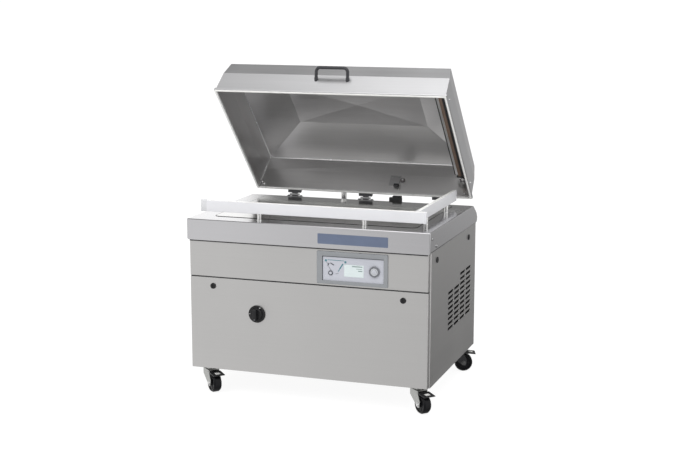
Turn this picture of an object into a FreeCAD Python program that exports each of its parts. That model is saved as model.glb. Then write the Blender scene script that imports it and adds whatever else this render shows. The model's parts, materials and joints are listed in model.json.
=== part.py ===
import FreeCAD, Part
import Sketcher
import os
import re

# Floor-standing chamber vacuum sealer, lid open.
# +X is the operator's right, +Y runs to the rear, +Z is up, the floor is Z = 0.
# Depths are counted from the cabinet's front plane, which stands at Y = front_y.

V = FreeCAD.Vector
Rot = FreeCAD.Rotation
doc = FreeCAD.newDocument("chamber_vacuum_sealer")
sheet = doc.addObject("Spreadsheet::Sheet", "dim")

SIZES = [
    # cabinet
    ("front_y", -398.6, "Y of the cabinet's front plane"),
    ("cab_w", 1042.0, "width over the front covers"),
    ("body_hw", 527.0, "half width over the side panels"),
    ("body_front", 16.5, "depth of the side panels' front edge"),
    ("pan", 15.5, "depth of the front covers, over their side returns"),
    ("panel_low", 109.0, "lower edge of the outer panels"),
    ("cab_d", 756.0, "cabinet depth"),
    ("cab_bottom", 113.0, "underside of the cabinet above the floor"),
    ("seam_z", 507.0, "seam between service panel and control fascia"),
    ("panel_top", 686.0, "top of the side and rear panels, inside the deck"),
    ("skin", 2.0, "panel sheet thickness"),
    ("vent_len", 84.0, "vent slot length"),
    ("vent_w", 11.6, "vent slot height"),
    ("vent_pitch", 22.1, "vent row pitch"),
    ("vent_top", 486.4, "height of the top vent row"),
    # deck
    ("deck_top", 752.0, "top of the chamber deck"),
    ("deck_lip", 663.4, "bottom of the deck's front and side lips"),
    ("deck_over", 8.4, "deck overhang at the front"),
    ("deck_side", 2.8, "deck overhang past each side panel"),
    ("deck_round", 9.0, "rounding of the deck's lower corners"),
    ("deck_plate", 5.0, "deck plate thickness"),
    ("deck_skin", 2.5, "deck lip thickness"),
    ("deck_flat", 697.0, "depth at which the deck's rear slope starts"),
    ("slope_run", 60.0, "run of the rear slope"),
    ("slope_drop", 38.9644556, "drop of the rear slope, 33 degrees"),
    ("slope_deg", 33.0, "rear slope angle"),
    ("plate_w", 888.0, "work plate width"),
    ("plate_front", 83.0, "work plate front edge depth"),
    ("plate_rear", 665.0, "work plate rear edge depth"),
    ("plate_h", 1.5, "work plate thickness"),
    ("plate_round", 25.0, "work plate corner radius"),
    # lid, drawn closed and then turned about the hinge
    ("lid_open", 46.3, "lid opening angle at rest"),
    ("hinge_y", 731.964, "depth of the hinge axis"),
    ("hinge_z", 741.578, "height of the hinge axis"),
    ("hinge_u", 35.0, "hinge axis along the rear slope"),
    ("hinge_n", 10.3, "hinge axis above the rear slope"),
    ("hinge_x", 346.0, "spacing of the outer hinges from the middle one"),
    ("hinge_mid", 17.0, "middle hinge, from the cabinet's middle"),
    ("pin_r", 5.0, "hinge pin radius"),
    ("pin_play", 0.06, "running clearance on the hinge pin"),
    ("rim_hw", 516.0, "half width over the lid rim"),
    ("rim_front", 10.0, "depth of the closed rim's front edge"),
    ("rim_rear", 694.0, "depth of the closed rim's rear edge"),
    ("rim_low", 756.0, "underside of the closed rim"),
    ("rim_high", 766.0, "top of the closed rim"),
    ("bend_z", 862.0, "fold in the lid walls, closed"),
    ("wall_z", 930.0, "top of the lid walls, closed"),
    ("roof_z", 983.0, "edge of the roof's inner panel, closed"),
    ("peak_z", 991.0, "peak of the cross-broken roof, closed"),
    ("lid_skin", 3.0, "lid sheet thickness"),
    ("lid_shift", 5.0, "offset of the lid to the right"),
    ("roof_hw", 303.0, "half width of the roof's inner panel"),
    ("roof_front", 231.5, "front edge depth of the roof's inner panel"),
    ("roof_rear", 473.0, "rear edge depth of the roof's inner panel"),
    # seal bars
    ("seal_low", 779.5, "underside of the seal bars"),
    ("seal_h", 46.0, "seal bar height"),
    ("seal_t", 16.0, "seal bar thickness"),
    ("seal_left", -483.0, "left end of the front seal bar"),
    ("seal_right", 497.0, "right end of the front seal bar"),
    ("seal_front", 38.0, "front face depth of the front seal bar"),
    ("side_bar_x", 456.0, "centre line of the right seal bar"),
    ("side_bar_a", 66.0, "front end depth of the right seal bar"),
    ("side_bar_b", 648.0, "rear end depth of the right seal bar"),
    ("post_r", 9.5, "seal post radius"),
    ("post_mid", 8.0, "middle between the front seal posts"),
    ("post_x", 230.0, "front seal posts, from that middle"),
    ("post_a", 186.0, "depth of the right bar's front post"),
    ("post_b", 503.0, "depth of the right bar's rear post"),
    ("strip_low", 838.0, "underside of the silicone strips, closed"),
    # front fittings
    ("lock_x", 416.5, "front locks, from the middle"),
    ("lock_z", 469.0, "front lock height"),
    ("lock_r", 9.0, "lock barrel radius"),
    ("lock_play", 0.06, "lock running clearance"),
    ("side_lock_z", 623.7, "side lock height"),
    ("side_lock_a", 105.0, "depth of the front side lock"),
    ("side_lock_b", 627.0, "depth of the rear side lock"),
    ("switch_x", -218.5, "main switch centre"),
    ("switch_z", 363.0, "main switch height"),
    ("bezel_x0", 48.8, "bezel left edge"),
    ("bezel_x1", 352.6, "bezel right edge"),
    ("bezel_z0", 516.0, "bezel bottom edge"),
    ("bezel_z1", 651.5, "bezel top edge"),
    ("bezel_t", 5.0, "bezel depth"),
    ("dial_x", 295.6, "dial centre"),
    ("dial_z", 578.6, "dial height"),
    ("stop_x", 108.2, "stop button centre"),
    ("stop_z", 561.9, "stop button height"),
    # casters
    ("caster_x", 463.0, "caster swivel, from the middle"),
    ("caster_shift", 7.0, "offset of the front swivels to the right"),
    ("caster_front", 48.0, "depth of the front swivels"),
    ("caster_rear", 676.0, "depth of the rear swivels"),
    ("wheel_r", 40.0, "wheel radius"),
    ("trail", 36.0, "caster trail"),
    ("axle_r", 4.0, "axle radius"),
    ("king_r", 8.0, "kingpin radius"),
    ("play", 0.05, "running clearance on axles and kingpins"),
    # rear inlet
    ("gland_x", -400.0, "cable gland centre"),
    ("gland_z", 200.0, "cable gland height"),
    ("gland_r", 6.0, "cable gland bore radius"),
]
for row, (alias, value, words) in enumerate(SIZES, 1):
    sheet.set("A%d" % row, words)
    sheet.set("B%d" % row, str(value))
    sheet.setAlias("B%d" % row, alias)
doc.recompute()

CELLS = set(alias for alias, value, words in SIZES)
WORD = re.compile(r"[A-Za-z_][A-Za-z_0-9]*")
NODES = []


def ex(text):
    """A length written with cell names, as an expression on the sheet."""
    return WORD.sub(lambda m: "dim." + m.group(0) if m.group(0) in CELLS else m.group(0), str(text))


def num(text):
    return float(sheet.evalExpression(ex(text)))


def bind(obj, **sizes):
    for prop, text in sizes.items():
        obj.setExpression(prop, ex(text))
    return obj


def depth(text):
    return "(front_y + %s)" % text


def place(obj, x="0", y="0", z="0", rot=None):
    obj.Placement = FreeCAD.Placement(V(num(x), num(y), num(z)), rot or Rot())
    for key, text in zip("xyz", (x, y, z)):
        obj.setExpression("Placement.Base." + key, ex(text))
    return obj


def keep(name, obj):
    obj.Label = name
    NODES.append(obj)
    return obj


# ---------------------------------------------------------------- sketch helpers
def new_body(name):
    body = doc.addObject("PartDesign::Body", name)
    body.Label = name
    return body


def sketch(body, role, off="0"):
    plane = [f for f in body.Origin.OriginFeatures if f.Role == role][0]
    s = body.newObject("Sketcher::SketchObject", body.Name + "_sketch")
    s.AttachmentSupport = [(plane, "")]
    s.MapMode = "FlatFace"
    s.setExpression("AttachmentOffset.Base.z", ex(off))
    return s


def pin_point(s, geo, pos, x, y):
    k = s.addConstraint(Sketcher.Constraint("DistanceX", -1, 1, geo, pos, num(x)))
    s.setExpression("Constraints[%d]" % k, ex(x))
    k = s.addConstraint(Sketcher.Constraint("DistanceY", -1, 1, geo, pos, num(y)))
    s.setExpression("Constraints[%d]" % k, ex(y))


def polygon(s, points):
    first = s.GeometryCount
    n = len(points)
    at = [V(num(a), num(b), 0) for a, b in points]
    for i in range(n):
        s.addGeometry(Part.LineSegment(at[i], at[(i + 1) % n]), False)
    for i in range(n):
        s.addConstraint(Sketcher.Constraint("Coincident", first + i, 2, first + (i + 1) % n, 1))
    for i, (a, b) in enumerate(points):
        pin_point(s, first + i, 1, a, b)
    return s


def rect(s, x0, y0, x1, y1):
    return polygon(s, [(x0, y0), (x1, y0), (x1, y1), (x0, y1)])


def circle(s, x, y, r):
    k = s.addGeometry(Part.Circle(V(num(x), num(y), 0), V(0, 0, 1), num(r)), False)
    pin_point(s, k, 3, x, y)
    c = s.addConstraint(Sketcher.Constraint("Radius", k, num(r)))
    s.setExpression("Constraints[%d]" % c, ex(r))
    return s


def slot(s, x, y, length, width):
    """A long slot with round ends, lying along the sketch's first axis."""
    lo, hi = "%s - (%s - %s)/2" % (x, length, width), "%s + (%s - %s)/2" % (x, length, width)
    up, dn = "%s + %s/2" % (y, width), "%s - %s/2" % (y, width)
    a, b, t, d, r = num(lo), num(hi), num(up), num(dn), num(width) / 2
    mid = (t + d) / 2
    k = s.GeometryCount
    s.addGeometry(Part.LineSegment(V(a, d, 0), V(b, d, 0)), False)
    s.addGeometry(Part.Arc(V(b, d, 0), V(b + r, mid, 0), V(b, t, 0)), False)
    s.addGeometry(Part.LineSegment(V(b, t, 0), V(a, t, 0)), False)
    s.addGeometry(Part.Arc(V(a, t, 0), V(a - r, mid, 0), V(a, d, 0)), False)
    for i in range(4):
        s.addConstraint(Sketcher.Constraint("Coincident", k + i, 2, k + (i + 1) % 4, 1))
    pin_point(s, k, 1, lo, dn)
    pin_point(s, k, 2, hi, dn)
    pin_point(s, k + 2, 1, hi, up)
    pin_point(s, k + 2, 2, lo, up)
    for arc, where in ((k + 1, hi), (k + 3, lo)):
        c = s.addConstraint(Sketcher.Constraint("DistanceX", -1, 1, arc, 3, num(where)))
        s.setExpression("Constraints[%d]" % c, ex(where))
    return s


# ---------------------------------------------------------------- feature helpers
def pad(body, s, length, back=False):
    f = body.newObject("PartDesign::Pad", body.Name + "_pad")
    f.Profile = s
    f.Reversed = back
    bind(f, Length=length)
    doc.recompute()
    return f


def pocket(body, s, length, back=False):
    before = body.Shape.Volume
    f = body.newObject("PartDesign::Pocket", body.Name + "_pocket")
    f.Profile = s
    f.Reversed = back
    bind(f, Length=length)
    doc.recompute()
    if not f.Shape.Volume < before - 1e-6:
        raise RuntimeError("pocket cuts nothing in " + body.Name)
    return f


def rows(body, feature, s, count, pitch):
    """Repeats a pocket downwards, along the sketch's second axis."""
    before = body.Shape.Volume
    f = body.newObject("PartDesign::LinearPattern", body.Name + "_rows")
    f.Originals = [feature]
    f.Direction = (s, ["V_Axis"])
    f.Reversed = True
    f.Occurrences = count
    bind(f, Length="%d*%s" % (count - 1, pitch))
    body.Tip = f
    doc.recompute()
    if not body.Shape.Volume < before - 1e-6:
        raise RuntimeError("pattern cuts nothing in " + body.Name)
    return f


def turn(body, points):
    """A solid of revolution about the body's own Z axis."""
    s = polygon(sketch(body, "XZ_Plane"), points)
    f = body.newObject("PartDesign::Revolution", body.Name + "_turn")
    f.Profile = s
    f.ReferenceAxis = (s, ["V_Axis"])
    f.Angle = 360
    doc.recompute()
    return f


def dress(kind, body, size, pick):
    base = body.Tip
    names = ["Edge%d" % (i + 1) for i, e in enumerate(base.Shape.Edges) if pick(e)]
    if not names:
        raise RuntimeError("no edges to dress on " + body.Name)
    f = body.newObject("PartDesign::" + kind, body.Name + "_" + kind.lower())
    f.Base = (base, names)
    bind(f, **{"Radius" if kind == "Fillet" else "Size": size})
    doc.recompute()
    return f


def along(edge, axis):
    a, b = edge.Vertexes[0].Point, edge.Vertexes[-1].Point
    d = b - a
    return d.Length > 1e-6 and abs(abs(getattr(d, axis)) - d.Length) < 1e-6


def mid(edge):
    return edge.BoundBox.Center


def box(name, x0, y0, z0, x1, y1, z1):
    o = doc.addObject("Part::Box", name)
    bind(o, Length="%s - (%s)" % (x1, x0), Width="%s - (%s)" % (y1, y0), Height="%s - (%s)" % (z1, z0))
    return place(o, x0, y0, z0)


def rod(name, x, y, z, r, h, rot=None):
    o = doc.addObject("Part::Cylinder", name)
    bind(o, Radius=r, Height=h)
    return place(o, x, y, z, rot)


def fuse(name, parts):
    o = doc.addObject("Part::MultiFuse", name)
    o.Shapes = parts
    o.Refine = True
    return o


def cut(name, base, tool):
    o = doc.addObject("Part::Cut", name)
    o.Base = base
    o.Tool = tool
    return o


def group(name, parts):
    o = doc.addObject("Part::Compound", name)
    o.Links = parts
    return keep(name, o)


TO_X = Rot(V(0, 1, 0), 90)      # a Z axis laid along +X
TO_FRONT = Rot(V(1, 0, 0), 90)  # a Z axis laid along -Y
TO_REAR = Rot(V(1, 0, 0), -90)  # a Z axis laid along +Y
SLOPE = Rot(V(1, 0, 0), -num("slope_deg"))
LID = FreeCAD.Placement(V(0, 0, 0), Rot(V(1, 0, 0), -num("lid_open")),
                        V(0, num(depth("hinge_y")), num("hinge_z")))
SHELL = FreeCAD.Placement(V(num("lid_shift"), 0, 0), LID.Rotation, V(0, num(depth("hinge_y")), num("hinge_z")))
HALF = "cab_w/2"

# ---------------------------------------------------------------- cabinet
b = new_body("base_tray")
pad(b, rect(sketch(b, "XY_Plane", "cab_bottom"), "-506", depth("9"), "506", depth("cab_d - 5")), "37")
pocket(b, rect(sketch(b, "XY_Plane", "cab_bottom + 37"), "-503", depth("12"), "503", depth("cab_d - 8")), "34")
keep("base_tray", b)


def side_panel(name, sign):
    b = new_body(name)
    o, i, r = [("%d*(body_hw - %s)" % (sign, t)) for t in ("0", "skin", "16")]
    y0, y1 = depth("body_front"), depth("cab_d - 2")
    pad(b, polygon(sketch(b, "XY_Plane", "panel_low"),
                   [(o, y0), (o, y1), (r, y1), (r, "%s - skin" % y1), (i, "%s - skin" % y1),
                    (i, "%s + skin" % y0), (r, "%s + skin" % y0), (r, y0)]), "panel_top - panel_low")
    corner = lambda e: along(e, "z") and abs(abs(mid(e).x) - num("body_hw")) < 1e-3
    dress("Fillet", b, "4.4", lambda e: corner(e) and mid(e).y < 0)
    dress("Fillet", b, "1.2", lambda e: corner(e) and mid(e).y > 300)
    face, back = "%d*body_hw" % sign, sign < 0
    s = sketch(b, "YZ_Plane", face)
    slot(s, depth("531"), "vent_top", "vent_len", "vent_w")
    slot(s, depth("631"), "vent_top", "vent_len", "vent_w")
    rows(b, pocket(b, s, "skin + 1", back), s, 10, "vent_pitch")
    s = sketch(b, "YZ_Plane", face)
    slot(s, depth("332"), "vent_top - 2*vent_pitch", "vent_len", "vent_w")
    slot(s, depth("432"), "vent_top - 2*vent_pitch", "vent_len", "vent_w")
    rows(b, pocket(b, s, "skin + 1", back), s, 8, "vent_pitch")
    if sign > 0:
        s = sketch(b, "YZ_Plane", face)
        circle(s, depth("side_lock_a"), "side_lock_z", "lock_r + lock_play")
        circle(s, depth("side_lock_b"), "side_lock_z", "lock_r + lock_play")
        pocket(b, s, "skin + 1", back)
    return keep(name, b)


side_panel("left_side_panel", -1)
side_panel("right_side_panel", 1)

b = new_body("rear_panel")
pad(b, rect(sketch(b, "XZ_Plane", "-(front_y + cab_d)"), "-body_hw", "panel_low", "body_hw", "panel_top"), "skin")
s = sketch(b, "XZ_Plane", "-(front_y + cab_d - skin)")
for x in ("-330", "-235", "235", "330"):
    slot(s, x, "vent_top + 80", "vent_len", "vent_w")
rows(b, pocket(b, s, "skin + 1"), s, 12, "vent_pitch")
s = sketch(b, "XZ_Plane", "-(front_y + cab_d - skin)")
pocket(b, circle(s, "gland_x", "gland_z", "10.1"), "skin + 1")
keep("rear_panel", b)


def front_sheet(name, z0, z1):
    b = new_body(name)
    o, i = "cab_w/2", "(cab_w/2 - skin)"
    y0, y1, yr = depth("0"), depth("skin"), depth("pan")
    pad(b, polygon(sketch(b, "XY_Plane", z0),
                   [("-" + o, y0), (o, y0), (o, yr), (i, yr), (i, y1), ("-" + i, y1), ("-" + i, yr), ("-" + o, yr)]),
        "%s - (%s)" % (z1, z0))
    dress("Fillet", b, "2.4", lambda e: along(e, "z") and abs(abs(mid(e).x) - num(HALF)) < 1e-3
          and abs(mid(e).y - num("front_y")) < 1e-3)
    return b


b = front_sheet("front_service_panel", "panel_low", "seam_z - 2.5")
s = sketch(b, "XZ_Plane", "-front_y")
circle(s, "switch_x", "switch_z", "26")
circle(s, "-lock_x", "lock_z", "lock_r + lock_play")
circle(s, "lock_x", "lock_z", "lock_r + lock_play")
pocket(b, s, "skin + 1")
keep("front_service_panel", b)

b = front_sheet("control_fascia", "seam_z + 2.5", "690")
pocket(b, rect(sketch(b, "XZ_Plane", "-front_y"), "69", "526", "339.6", "635"), "skin + 1")
keep("control_fascia", b)

# ---------------------------------------------------------------- deck
b = new_body("chamber_deck")
rear = "deck_flat + slope_run"
outer = [(depth("-deck_over"), "deck_lip"), (depth(rear), "deck_lip"), (depth(rear), "668"), (depth("770"), "678"),
         (depth("772"), "692"), (depth(rear), "deck_top - slope_drop"), (depth("deck_flat"), "deck_top"),
         (depth("-deck_over"), "deck_top")]
pad(b, polygon(sketch(b, "YZ_Plane", "-(body_hw + deck_side)"), outer), "2*body_hw + 2*deck_side")
at_front = lambda e: abs(mid(e).y - num(depth("-deck_over"))) < 1e-3
dress("Fillet", b, "4.5", lambda e: (abs(mid(e).z - num("deck_top")) < 1e-3 and ((along(e, "x") and at_front(e)) or along(e, "y")))
      or (along(e, "z") and at_front(e)))
dress("Fillet", b, "5", lambda e: along(e, "x") and abs(mid(e).y - num(depth("772"))) < 1e-3)
inner = [(depth("deck_skin - deck_over"), "deck_lip - 5"), (depth(rear), "deck_lip - 5"), (depth(rear), "690"),
         (depth("752"), "690"), (depth("752"), "709.6"), (depth("deck_flat - 2.4"), "deck_top - deck_plate"),
         (depth("deck_skin - deck_over"), "deck_top - deck_plate")]
pocket(b, polygon(sketch(b, "YZ_Plane", "body_hw + deck_side - deck_skin"), inner), "2*body_hw + 2*deck_side - 2*deck_skin")
s = sketch(b, "XZ_Plane", "-" + depth("-deck_over"))
for sign in (-1, 1):
    edge = "%d*(body_hw + deck_side" % sign
    curve = [(1.0, 0.0), (0.617, 0.076), (0.293, 0.293), (0.076, 0.617), (0.0, 1.0)]
    polygon(s, [(edge + ")", "deck_lip")] + [(edge + " - %s*deck_round)" % u, "deck_lip + %s*deck_round" % w) for u, w in curve])
pocket(b, s, "800")
s = sketch(b, "XY_Plane", "deck_top")
POSTS = [("(post_mid - post_x)", depth("seal_front + seal_t/2")), ("(post_mid + post_x)", depth("seal_front + seal_t/2")),
         ("side_bar_x", depth("post_a")), ("side_bar_x", depth("post_b"))]
for x, y in POSTS:
    circle(s, x, y, "post_r + 0.6")
circle(s, "0", depth("370"), "20")
pocket(b, s, "deck_plate + 1")
keep("chamber_deck", b)

b = new_body("work_plate")
pad(b, rect(sketch(b, "XY_Plane", "deck_top"), "-plate_w/2", depth("plate_front"), "plate_w/2", depth("plate_rear")), "plate_h")
dress("Fillet", b, "plate_round", lambda e: along(e, "z"))
keep("work_plate", b)

# ---------------------------------------------------------------- seal bars and their lift
tubes = []
for k, (x, y) in enumerate(POSTS):
    b = new_body("seal_cylinder_%d" % (k + 1))
    turn(b, [("0", "0"), ("28", "0"), ("28", "107"), ("post_r + 0.6", "107"), ("post_r + 0.6", "97"),
             ("18.5", "97"), ("18.5", "6"), ("0", "6")])
    tubes.append(place(b, x, y, "deck_top - deck_plate - 107"))
group("seal_cylinders", tubes)

posts = []
for k, (x, y) in enumerate(POSTS):
    b = new_body("seal_post_%d" % (k + 1))
    turn(b, [("0", "0"), ("17", "0"), ("18", "1"), ("18", "9"), ("17", "10"), ("post_r", "10"),
             ("post_r", "seal_low - 690"), ("0", "seal_low - 690")])
    posts.append(place(b, x, y, "690"))
group("front_seal_posts", posts[:2])
group("right_seal_posts", posts[2:])

b = new_body("front_seal_bar")
pad(b, rect(sketch(b, "XY_Plane", "seal_low"), "seal_left", depth("seal_front"), "seal_right", depth("seal_front + seal_t")), "seal_h")
dress("Fillet", b, "1.5", lambda e: not along(e, "z"))
keep("front_seal_bar", b)
b = new_body("right_seal_bar")
pad(b, rect(sketch(b, "XY_Plane", "seal_low"), "side_bar_x - seal_t/2", depth("side_bar_a"), "side_bar_x + seal_t/2", depth("side_bar_b")), "seal_h")
dress("Fillet", b, "1.5", lambda e: not along(e, "z"))
keep("right_seal_bar", b)
keep("front_seal_wire", box("front_seal_wire", "seal_left + 7", depth("seal_front + seal_t/2 - 4"), "seal_low + seal_h",
                            "seal_right - 7", depth("seal_front + seal_t/2 + 4"), "seal_low + seal_h + 0.8"))
keep("right_seal_wire", box("right_seal_wire", "side_bar_x - 4", depth("side_bar_a + 7"), "seal_low + seal_h",
                            "side_bar_x + 4", depth("side_bar_b - 7"), "seal_low + seal_h + 0.8"))

# ---------------------------------------------------------------- rear hinges
HINGES = ("hinge_mid - hinge_x", "hinge_mid", "hinge_mid + hinge_x")
brackets, pins, coils, leaves = [], [], [], []
for k, x in enumerate(HINGES):
    b = new_body("hinge_bracket_%d" % (k + 1))
    pad(b, rect(sketch(b, "YZ_Plane", "-35"), "50", "0", "66", "6"), "70")
    ear = [("25", "0"), ("66", "0"), ("66", "6"), ("46", "18"), ("30", "19.5"), ("25", "15")]
    pad(b, polygon(sketch(b, "YZ_Plane", "25"), ear), "10")
    pad(b, polygon(sketch(b, "YZ_Plane", "-35"), ear), "10")
    pocket(b, circle(sketch(b, "YZ_Plane", "35"), "hinge_u", "hinge_n", "pin_r + 0.06"), "70")
    brackets.append(place(b, x, depth("deck_flat"), "deck_top + 0.03", SLOPE))
    pins.append(rod("hinge_pin_%d" % (k + 1), "%s - 37" % x, depth("hinge_y"), "hinge_z", "pin_r", "74", TO_X))
    for side, at in (("a", "-24"), ("b", "13.4")):
        o = rod("coil_out_%d%s" % (k, side), "%s + %s" % (x, at), depth("hinge_y"), "hinge_z", "8.2", "10.6", TO_X)
        i = rod("coil_in_%d%s" % (k, side), "%s + %s" % (x, at), depth("hinge_y"), "hinge_z", "5.7", "10.6", TO_X)
        coils.append(cut("coil_%d%s" % (k, side), o, i))
    b = new_body("hinge_leaf_%d" % (k + 1))
    s = sketch(b, "YZ_Plane", "%s - 32" % x)
    pad(b, polygon(s, [(depth("688.0"), "770"), (depth("696.5"), "770"), (depth("692.6"), "822"), (depth("686.4"), "822")]), "64")
    s = sketch(b, "YZ_Plane", "%s - 32" % x)
    pad(b, polygon(s, [(depth("688.2"), "771"), (depth("695.6"), "771"), (depth("712"), "752.9"), (depth("716"), "764"),
                       (depth("704"), "786"), (depth("694"), "802"), (depth("688.2"), "802")]), "64")
    s = sketch(b, "YZ_Plane", "%s - 12" % x)
    pad(b, polygon(s, [(depth("688.2"), "771"), (depth("695.6"), "771"), (depth("724"), "hinge_z - 2"), (depth("hinge_y"), "hinge_z"),
                       (depth("hinge_y + 4"), "hinge_z + 7"), (depth("704"), "786"), (depth("694"), "802"), (depth("688.2"), "802")]), "24")
    pad(b, circle(sketch(b, "YZ_Plane", "%s - 12" % x), depth("hinge_y"), "hinge_z", "8.5"), "24")
    pocket(b, circle(sketch(b, "YZ_Plane", "%s + 12" % x), depth("hinge_y"), "hinge_z", "pin_r + pin_play"), "24")
    leaves.append(b)
group("deck_hinge_brackets", brackets)
group("hinge_pins", pins)
group("lid_torsion_springs", coils)
group("lid_hinge_leaves", leaves).Placement = LID


def under_slope(name):
    """Everything below the deck's rear slope, to trim what stands on it."""
    o = doc.addObject("Part::Box", name)
    bind(o, Length="1200", Width="300", Height="100")
    body = FreeCAD.Placement(V(0, num(depth("deck_flat")), num("deck_top + 0.03")), SLOPE)
    o.Placement = body.multiply(FreeCAD.Placement(V(-600, -100, -100), Rot()))
    return o


b = new_body("stop_post_blank")
turn(b, [("0", "0"), ("12.5", "0"), ("12.5", "90"), ("9.5", "92"), ("0", "92")])
place(b, "-90", depth("737.4"), "700")
keep("lid_stop_post", cut("lid_stop_post", b, under_slope("under_post")))
b = fuse("buffer_blank", [box("buffer_foot", "130", depth("726"), "700", "186", depth("748"), "764"),
                          box("buffer_head", "146", depth("727"), "763", "185", depth("747"), "772")])
keep("lid_stop_buffer", cut("lid_stop_buffer", b, under_slope("under_buffer")))

# ---------------------------------------------------------------- lid, drawn closed
def ring(inset_side, inset_front, inset_rear):
    return ("-(rim_hw - (%s))" % inset_side, depth("rim_front + (%s)" % inset_front),
            "rim_hw - (%s)" % inset_side, depth("rim_rear - (%s)" % inset_rear))


b = new_body("lid_shell")
MID_Y = "(front_y + (roof_front + roof_rear)/2)"


def stack(kind, name, grow, low):
    t = "%s" % grow
    parts = []
    for z, sides in ((low, ("5.4 + %s" % t, "5.4 + %s" % t, "5.6 + %s" % t)), ("bend_z", ("10.5 + %s" % t, "12 + %s" % t, "9 + %s" % t)),
                     ("wall_z - %s" % t, ("21.5 + %s" % t, "27 + %s" % t, "17 + %s" % t))):
        parts.append(rect(sketch(b, "XY_Plane", z), *ring(*sides)))
    parts.append(rect(sketch(b, "XY_Plane", "roof_z - %s" % t), "-roof_hw", depth("roof_front"), "roof_hw", depth("roof_rear")))
    parts.append(rect(sketch(b, "XY_Plane", "peak_z - %s" % t), "-2.5", MID_Y + " - 1", "2.5", MID_Y + " + 1"))
    f = b.newObject("PartDesign::" + kind, name)
    f.Profile = parts[0]
    f.Sections = parts[1:]
    f.Ruled = True
    doc.recompute()
    return f


stack("AdditiveLoft", "lid_outside", "0", "rim_low")
outside = b.Shape.Volume
stack("SubtractiveLoft", "lid_inside", "lid_skin", "rim_low")
if not b.Shape.Volume < 0.2 * outside:
    raise RuntimeError("the lid isn't hollow")
s = sketch(b, "XY_Plane", "rim_low")
rect(s, *ring("0", "0", "0"))
rect(s, *ring("14", "14", "14"))
pad(b, s, "rim_high - rim_low")
dress("Fillet", b, "6", lambda e: along(e, "z") and abs(abs(mid(e).x) - num("rim_hw")) < 1e-3)
s = sketch(b, "XY_Plane", "rim_low")
rect(s, *ring("3.9", "3.9", "3.9"))
rect(s, *ring("10.1", "10.1", "10.1"))
pocket(b, s, "4", True)
keep("lid_shell", b).Placement = SHELL

b = new_body("lid_gasket")
s = sketch(b, "XY_Plane", "deck_top + 0.4")
rect(s, *ring("4", "4", "4"))
rect(s, *ring("10", "10", "10"))
pad(b, s, "rim_low - deck_top + 3.6")
keep("lid_gasket", b).Placement = SHELL

# handle: a bow that leans up and out of the front wall
BOW = FreeCAD.Placement(V(0, num(depth("20")), num("835")), Rot(V(1, 0, 0), 135))
bow = []
for i, side in enumerate((-1, 1)):
    for name, r, low, high in (("leg", "6.9", -14, 33), ("foot", "8.2", -14, 9)):
        o = doc.addObject("Part::Cylinder", "handle_%s_%d" % (name, i))
        bind(o, Radius=r, Height=str(high - low))
        o.Placement = BOW.multiply(FreeCAD.Placement(V(side * 70, low, 0), TO_REAR))
        bow.append(o)
    o = doc.addObject("Part::Torus", "handle_bend_%d" % i)
    bind(o, Radius1="18", Radius2="6.9")
    o.Angle3 = 90
    o.Placement = BOW.multiply(FreeCAD.Placement(V(side * 52, 33, 0), Rot(V(0, 0, 1), 90 if side < 0 else 0)))
    bow.append(o)
o = doc.addObject("Part::Cylinder", "handle_grip")
bind(o, Radius="6.9", Height="104")
o.Placement = BOW.multiply(FreeCAD.Placement(V(-52, 51, 0), TO_X))
bow.append(o)
b2 = new_body("handle_trim")
pad(b2, polygon(sketch(b2, "YZ_Plane", "-120"), [(depth("12.6"), "716"), (depth("90"), "716"), (depth("90"), "862"), (depth("21.8"), "862")]), "240")
handle = cut("lid_handle", fuse("handle_whole", bow), b2)
keep("lid_handle", handle).Placement = SHELL

bar = [box("front_counter_body", "seal_left", depth("33"), "strip_low + 5", "seal_right", depth("59"), "strip_low + 29")]
for i, x in enumerate(("-400", "0", "400")):
    bar.append(box("front_counter_tab_%d" % i, "%s - 20" % x, depth("26.2"), "strip_low + 7", "%s + 20" % x, depth("36"), "strip_low + 27"))
keep("front_counter_bar", fuse("front_counter_bar", bar)).Placement = LID
bar = [box("right_counter_body", "side_bar_x - 20", depth("side_bar_a"), "strip_low + 5", "side_bar_x + 18", depth("side_bar_b - 8"), "strip_low + 29")]
for i, y in enumerate(("120", "360", "600")):
    bar.append(box("right_counter_tab_%d" % i, "side_bar_x + 17", depth("%s - 20" % y), "strip_low + 7", "501 + lid_shift", depth("%s + 20" % y), "strip_low + 27"))
keep("right_counter_bar", fuse("right_counter_bar", bar)).Placement = LID
strips = [box("front_strip", "seal_left", depth("39"), "strip_low", "seal_right", depth("53"), "strip_low + 5"),
          box("right_strip", "side_bar_x - 7", depth("side_bar_a"), "strip_low", "side_bar_x + 7", depth("side_bar_b - 8"), "strip_low + 5")]
group("silicone_strips", strips).Placement = LID

b = new_body("lid_backing_bracket")
pad(b, polygon(sketch(b, "YZ_Plane", "124"), [(depth("683.5"), "798"), (depth("681.7"), "854"), (depth("677.7"), "854"), (depth("679.5"), "798")]), "48")
s = sketch(b, "XZ_Plane", "-" + depth("681.2"))
for x in ("133", "163"):
    circle(s, x, "846", "4.5")
pad(b, s, "8")
s = sketch(b, "XZ_Plane", "-" + depth("681.2"))
pad(b, rect(s, "150", "791", "172", "805"), "10")
keep("lid_backing_bracket", b).Placement = LID

# ---------------------------------------------------------------- controls on the front
b = new_body("label_plate")
pad(b, rect(sketch(b, "XZ_Plane", "-" + depth("-deck_over")), "55", "682", "354.5", "724"), "1")
dress("Fillet", b, "3", lambda e: along(e, "y"))
keep("label_plate", b)

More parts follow.
